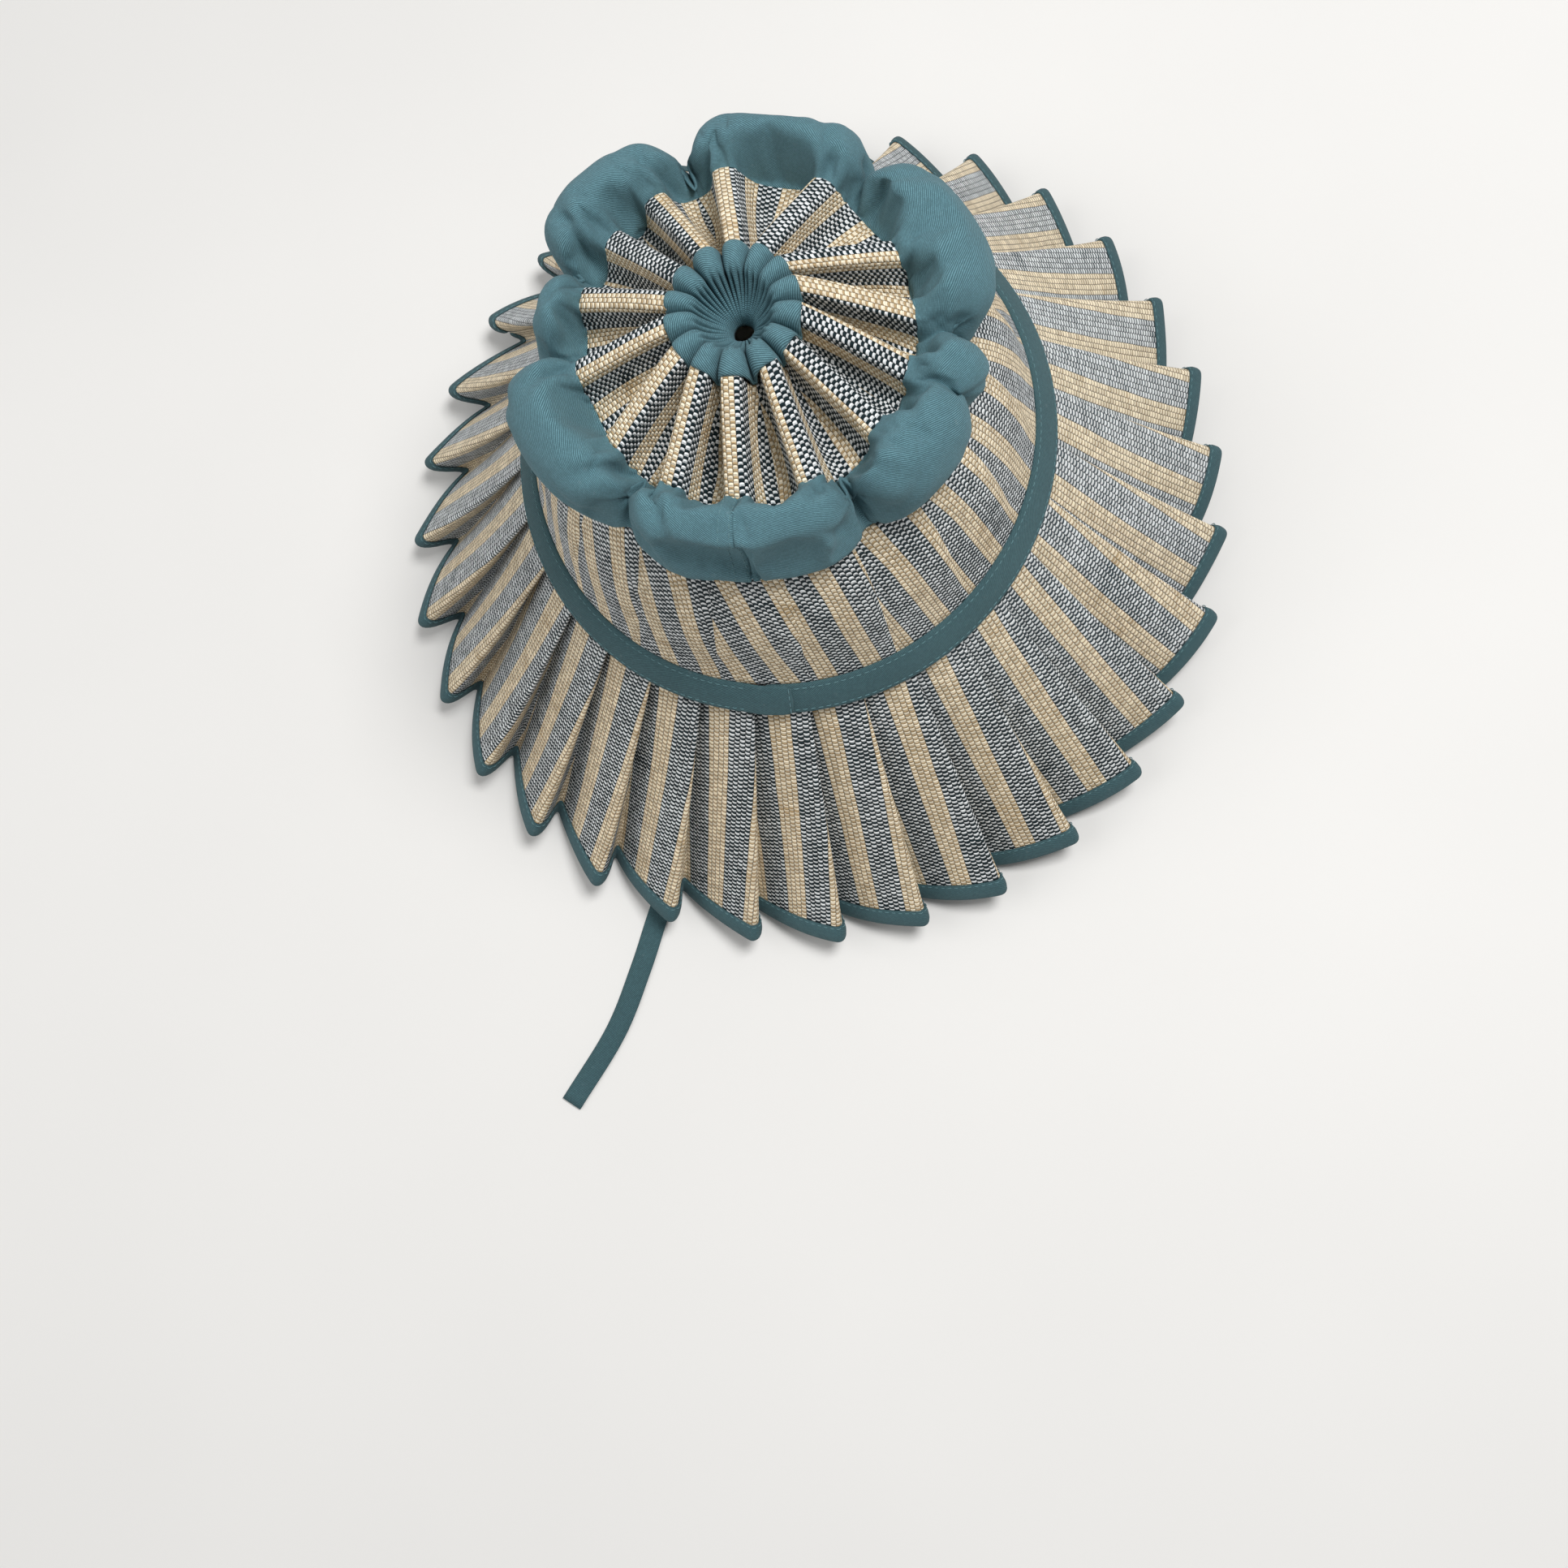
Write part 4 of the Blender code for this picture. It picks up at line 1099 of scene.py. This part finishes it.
def puff_start(angles):
    """The puff band before it is filled: its seams in place, drawn in at the creases."""
    pinch = creases(angles)
    drawn = PUFF_CREASE_DEPTH * pinch
    level = np.zeros_like(angles)
    inner = CROWN_RADIUS - PUFF_LAP + level
    seam = TRIM_Z + CROWN_HEIGHT - RIDGE_DEPTH_OUTER * crown_fall(angles, CROWN_RADIUS) + PUFF_EDGE_LIFT
    pull = np.where(np.sin(angles) > 0.0, PUFF_FRONT_PULL, PUFF_BACK_PULL)
    radius = PUFF_RADIUS - PUFF_SLACK - pull * np.sin(angles) ** 2
    radius = radius - PUFF_DENT_DEPTH * np.exp(-((angle_off(angles, PUFF_DENT) / PUFF_DENT_WIDTH) ** 4))
    top = TRIM_Z + CROWN_HEIGHT + PUFF_RISE - PUFF_SETTLE
    equator = TRIM_Z + PUFF_EQUATOR
    along = wall_along()
    low = wall_point(1.0) + along * CLEARANCE
    turned = low + along * PUFF_TURNING
    stations = np.array((
        (inner, seam),
        (lerp(inner, radius, 0.10), lerp(seam, top, 0.22) - 0.2 * drawn),
        (lerp(inner, radius, 0.40), top - 0.9 * drawn),
        (lerp(inner, radius, 0.82) - 0.6 * drawn, lerp(equator, top, 0.72) - 0.7 * drawn),
        (radius - drawn, equator + level),
        (turned[0] + PUFF_OVERHANG * (1.0 - 0.8 * pinch), turned[1] - PUFF_HANG * (1.0 - 1.4 * pinch)),
        (turned[0] + level, turned[1] + level),
        (low[0] + level, low[1] + level),
    ))
    profile = np.stack([spline(stations[:, :, i], PUFF_STEPS) for i in range(len(angles))], axis=1)
    return place(angles[None, :], profile[:, :, 0], profile[:, :, 1])


def filled(grid, pins):
    """The grid after its slack cloth has been blown out, with the pinned points held."""
    faces = grid_faces(*grid.shape[:2], True)
    mesh = bpy.data.meshes.new("filling")
    mesh.from_pydata([tuple(p) for p in SIM_SCALE * grid.reshape(-1, 3)], [], faces.tolist())
    made = bpy.data.objects.new("filling", mesh)
    bpy.context.scene.collection.objects.link(made)
    group = made.vertex_groups.new(name="pins")
    for weight in np.unique(pins[pins > 0.0]):
        group.add(np.flatnonzero(pins.ravel() == weight).tolist(), float(weight), "REPLACE")
    cloth = made.modifiers.new("cloth", "CLOTH")
    settings = cloth.settings
    settings.quality = 8
    settings.mass = 0.3
    settings.tension_stiffness = 25.0
    settings.compression_stiffness = 25.0
    settings.shear_stiffness = 8.0
    settings.bending_stiffness = 2.5
    settings.air_damping = 4.0
    settings.vertex_group_mass = "pins"
    settings.pin_stiffness = 5.0
    settings.shrink_min = -PUFF_FULLNESS
    settings.use_pressure = True
    settings.uniform_pressure_force = PUFF_PRESSURE
    settings.effector_weights.gravity = 0.05
    cloth.collision_settings.use_collision = False
    cloth.point_cache.frame_end = SIM_FRAMES
    for number in range(1, SIM_FRAMES + 1):
        bpy.context.scene.frame_set(number)
    result = made.evaluated_get(bpy.context.evaluated_depsgraph_get())
    points = np.empty(grid.size, np.float32)
    result.data.vertices.foreach_get("co", points)
    bpy.context.scene.frame_set(1)
    bpy.data.objects.remove(made, do_unlink=True)
    return points.reshape(grid.shape).astype(float) / SIM_SCALE


def clear_of_wall(grid):
    """The grid with what hangs beside the wall held off it."""
    line = np.array([wall_point(share) for share in np.linspace(0.3, 1.0, 60)])
    lean = np.maximum(grid[..., 2] - LEAN_HEIGHT, 0.0)
    x = (grid[..., 0] - LEAN_SIDE * lean) / (1.0 - HEAD_OVAL)
    y = (grid[..., 1] - LEAN_BACK * lean) / (1.0 + HEAD_OVAL)
    least = np.interp(grid[..., 2], line[:, 1], line[:, 0]) + WALL_CLEAR
    radius = np.hypot(x, y)
    beside = grid[..., 2] < line[-1, 1]
    wide = np.where(beside, np.maximum(radius, least), radius)
    return place(np.arctan2(y, x), wide, grid[..., 2])


def finer(grid):
    """A grid closed round its columns, with a row and a column put in half-way between each two."""
    before, after, beyond = (np.roll(grid, by, axis=1) for by in (1, -1, -2))
    around = (9.0 * (grid + after) - before - beyond) / 16.0
    grid = np.stack((grid, around), axis=2).reshape(len(grid), -1, 3)
    ends = np.concatenate((2.0 * grid[:1] - grid[1:2], grid, 2.0 * grid[-1:] - grid[-2:-1]))
    between = (9.0 * (ends[1:-2] + ends[2:-1]) - ends[:-3] - ends[3:]) / 16.0
    return np.concatenate((np.stack((grid[:-1], between), axis=1).reshape(-1, grid.shape[1], 3), grid[-1:]))


def outwards(grid):
    """The cloth's outward normals over a closed grid."""
    along = np.gradient(grid, axis=0)
    around = np.roll(grid, -1, axis=1) - np.roll(grid, 1, axis=1)
    normals = np.cross(along, around)
    return normals / np.linalg.norm(normals, axis=2, keepdims=True)


CREASE_FOLDS = (
    # fan and share down the band at the first end, fan at the last, least and most of (fan, share, depth)
    (0.5, 0.09, 1.8, (8.0, 0.42, 0.0010), (13.0, 0.58, 0.0022)),
    (0.6, 0.66, 1.7, (8.0, 0.36, 0.0006), (13.0, 0.48, 0.0016)),
)


def puff_folds():
    """The puff band's small folds: angle and share down the band at both ends, half width and depth."""
    folds = []
    for at, strength in PUFF_CREASES:
        at = math.radians(at)
        for side in (-1.0, 1.0):
            for near, first, far, least, most in CREASE_FOLDS:
                fan, last, depth = random.uniform(least, most)
                fan = side * math.radians(fan)
                folds.append((at + near * fan, first, at + far * fan, last, 0.0030, depth * strength))
    ridges = np.radians(RIDGES_OUTER)
    for at in (ridges + np.append(ridges[1:], ridges[0] + math.tau)) / 2.0:
        drift, last, depth = random.uniform((-5.0, 0.30, 0.0003), (5.0, 0.46, 0.0013))
        if creases(at) < 0.35:
            folds.append((at, 0.08, at + math.radians(drift), last, 0.0032, depth))
    return folds


def fold_depths(angles, shares):
    """How far the small folds push the cloth in, or out beside them, over the puff band's grid."""
    total = np.zeros((len(shares), len(angles)))
    for start, first, end, last, half, depth in puff_folds():
        t = np.clip((shares - first) / (last - first), 0.0, 1.0)[:, None]
        middle = lerp(start, end, t**1.3)
        x = np.abs(angle_off(angles[None, :], middle)) * PUFF_RADIUS / (half * (0.7 + 0.8 * t))
        # The fold's taper in and out along its length.
        painted_sheen_and_fold_taper = smooth(0.0, 0.30, t) * (1.0 - smooth(0.45, 1.0, t))
        total += depth * painted_sheen_and_fold_taper * (np.exp(-(x**2)) - 0.35 * np.exp(-((x - 1.9) ** 2)))
    return total


def make_puff():
    """The gathered twill band: puffs between creases, drawn into the crown's valleys and the wall's seam."""
    angles = puff_angles()
    start = puff_start(angles)
    pins = np.zeros(start.shape[:2])
    pins[:2] = 1.0
    pins[-PUFF_STEPS - 1 :] = 1.0
    for at, strength in PUFF_CREASES:
        if strength > 0.5:
            held = np.abs(angle_off(angles, math.radians(at))) < PUFF_HELD
            pins[2 : -PUFF_STEPS - 1, held] = 1.0
    moved = filled(start, pins) - start
    far = np.linalg.norm(moved, axis=2, keepdims=True)
    grid = finer(start + moved * np.minimum(1.0, PUFF_MOST_MOVE / np.maximum(far, 1e-9)))
    after = np.append(angles[1:], angles[0] + math.tau)
    angles = np.stack((angles, (angles + after) / 2.0), axis=1).ravel()
    turned = 2 * PUFF_STEPS
    pressed = fold_depths(angles, np.linspace(0.0, 1.0, len(grid)))
    pressed += SEAM_GROOVE * np.exp(-(((angles - PUFF_SEAM) / SEAM_GROOVE_WIDTH) ** 2))
    pressed[-turned:] = 0.0
    grid = grid - outwards(grid) * pressed[:, :, None]
    grid[:-turned] = clear_of_wall(grid[:-turned])
    across = run_lengths(grid[:, PUFF_MEASURED])
    u = np.append(angles, angles[0] + math.tau) * PUFF_RADIUS
    left, right = split_uv(u, across)
    puff = sheet("puff_cloth", grid, left, right, True, twill, "crown", 0)
    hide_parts("puff_band")
    normals = outwards(grid)
    lines = []
    for row in SEAM_ROWS:
        column = np.argmin(np.abs(angles - PUFF_SEAM - row))
        up = normals[1:-turned, column]
        lines.append((grid[1:-turned, column] + up * WOVEN_THICKNESS / 2.0, up))
    sewn = stitches("puff_seam_stitches", lines, thread, "crown")


TAPE_ROWS = ((0.0, 0.0), (0.2, 0.0001), (0.5, 0.0003), (0.8, 0.0001), (1.0, 0.0))
TAPE_STITCHES = (0.18, 0.82)
TAPE_STITCH_OFF = 0.0006


def make_seam_tape():
    """The tape inside the crown, over the seam of wall and puff band, with a row of stitches by each edge."""
    along = wall_along()
    inwards = np.array((-along[1], along[0]))
    inset = inwards * (WOVEN_THICKNESS / 2.0 + CLEARANCE + TAPE_THICKNESS / 2.0)
    upper = wall_point(1.0) + inset + along * TAPE_LAP
    lower = wall_point(1.0) + inset - along * (TAPE_WIDTH - TAPE_LAP)
    path = np.array([lerp(upper, lower, share) + inwards * swell for share, swell in TAPE_ROWS])
    grid = [place(RING[:-1], radius, height) for radius, height in path]
    left, right = split_uv(RING * WALL_TOP_RADIUS, run_lengths(path))
    tape = sheet("seam_tape", grid, left, right, True, twill_trim, "crown", 1, TAPE_THICKNESS)
    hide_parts("crown_seam_tape")
    lines = []
    for share in TAPE_STITCHES:
        at = lerp(upper, lower, share) + inwards * TAPE_STITCH_OFF
        lines.append((place(RING, at[0], at[1]), place(RING, inwards[0], inwards[1])))
    stitches("seam_tape_stitches", lines, dark_thread, "crown")


# The tie

STRAP_SECTION = (
    (1.0, 0.0), (0.92, 0.8), (0.4, 1.0), (-0.4, 1.0), (-0.92, 0.8),
    (-1.0, 0.0), (-0.92, -0.8), (-0.4, -1.0), (0.4, -1.0), (0.92, -0.8),
)
TAB_STEPS = 13
TAB_STITCHES = np.linspace(-0.0034, 0.0034, 7)
TAB_STITCH_UPS = (0.003, 0.009)
TAB_STITCH_OFF = 0.00065


def strap(name, curve, sideways, material):
    """A flat strap with soft edges along a curve."""
    steps = np.gradient(curve, axis=0)
    rings = []
    for point, step in zip(curve, steps):
        up = np.cross(step, sideways)
        up = up / np.linalg.norm(up)
        across = np.cross(up, step / np.linalg.norm(step))
        wide, thick = across * TIE_WIDTH / 2.0, up * TIE_THICKNESS / 2.0
        rings.append([point + wide * side + thick * face for side, face in STRAP_SECTION])
    return tube(name, rings, False, material, "hat", 0)


def make_tie():
    """The flat tie: down from its tab inside the brim, then along the floor and out under a fold."""
    low = TRIM_Z - SWEATBAND_BELOW_TRIM
    start = place(TIE_ANGLE, TIE_RADIUS, low - TIE_TAB_HEIGHT - CLEARANCE)
    curve = spline((start, *TIE_ROUTE), 10)
    sideways = np.cross((0.0, 0.0, 1.0), curve[-1] - curve[0])
    sideways = sideways / np.linalg.norm(sideways)
    tie = strap("tie_strap", curve, sideways, twill_trim)
    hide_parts("tie")
    heights = np.linspace(low + TIE_TAB_HEIGHT, low - TIE_TAB_HEIGHT, TAB_STEPS)
    across = np.array((-math.sin(TIE_ANGLE), math.cos(TIE_ANGLE), 0.0))
    tab = strap("tie_loop", place(TIE_ANGLE, TIE_RADIUS, heights), -across, twill_trim)
    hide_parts("tie_tab")
    inwards = -np.array((math.cos(TIE_ANGLE), math.sin(TIE_ANGLE), 0.0))
    lines = []
    for up in TAB_STITCH_UPS:
        middle = place(TIE_ANGLE, TIE_RADIUS, low + up) + inwards * TAB_STITCH_OFF
        lines.append((middle + across * TAB_STITCHES[:, None], np.tile(inwards, (len(TAB_STITCHES), 1))))
    stitches("tie_loop_stitches", lines, thread, "hat", step=0.0022, length=0.0017)


def make_floor():
    mesh = bpy.data.meshes.new("floor")
    corners = [(x * FLOOR_HALF, y * FLOOR_HALF, 0.0) for x, y in ((-1, -1), (1, -1), (1, 1), (-1, 1))]
    mesh.from_pydata(corners, [], [(0, 1, 2, 3)])
    floor = bpy.data.objects.new("floor", mesh)
    floor.data.materials.append(floor_material())
    bpy.context.scene.collection.objects.link(floor)


def make_camera():
    data = bpy.data.cameras.new("camera")
    data.lens = LENS_MM
    data.sensor_width = SENSOR_MM
    camera = bpy.data.objects.new("camera", data)
    back = Vector(CAMERA_PLACE) - Vector(CAMERA_TARGET)
    turn = back.to_track_quat("Z", "Y").to_matrix().to_4x4() @ Matrix.Rotation(CAMERA_ROLL, 4, "Z")
    camera.matrix_world = Matrix.Translation(CAMERA_PLACE) @ turn
    bpy.context.scene.collection.objects.link(camera)
    bpy.context.scene.camera = camera


def make_lights():
    """A soft key from over the hat's front right, a weaker fill, and an even pale surround."""
    for name, at, size, power in LAMPS:
        data = bpy.data.lights.new(name, "AREA")
        data.size = size
        data.energy = power
        lamp = bpy.data.objects.new(name, data)
        lamp.location = at
        lamp.rotation_euler = (Vector(at) - Vector(LIT_POINT)).to_track_quat("Z", "Y").to_euler()
        bpy.context.scene.collection.objects.link(lamp)
    world = bpy.data.worlds.new("studio")
    world.use_nodes = True
    surround = world.node_tree.nodes["Background"].inputs
    surround["Color"].default_value = (1.0, 1.0, 1.0, 1.0)
    surround["Strength"].default_value = SURROUND
    bpy.context.scene.world = world
    bpy.context.scene.view_settings.view_transform = "Standard"


make_camera()
make_tie()
make_brim()
band_tape, band_stitches = make_trim()
make_wall()
make_sweatband()
make_crown_top()
make_centre()
make_gathering_thread()
make_puff()
make_seam_tape()
make_floor()
make_lights()
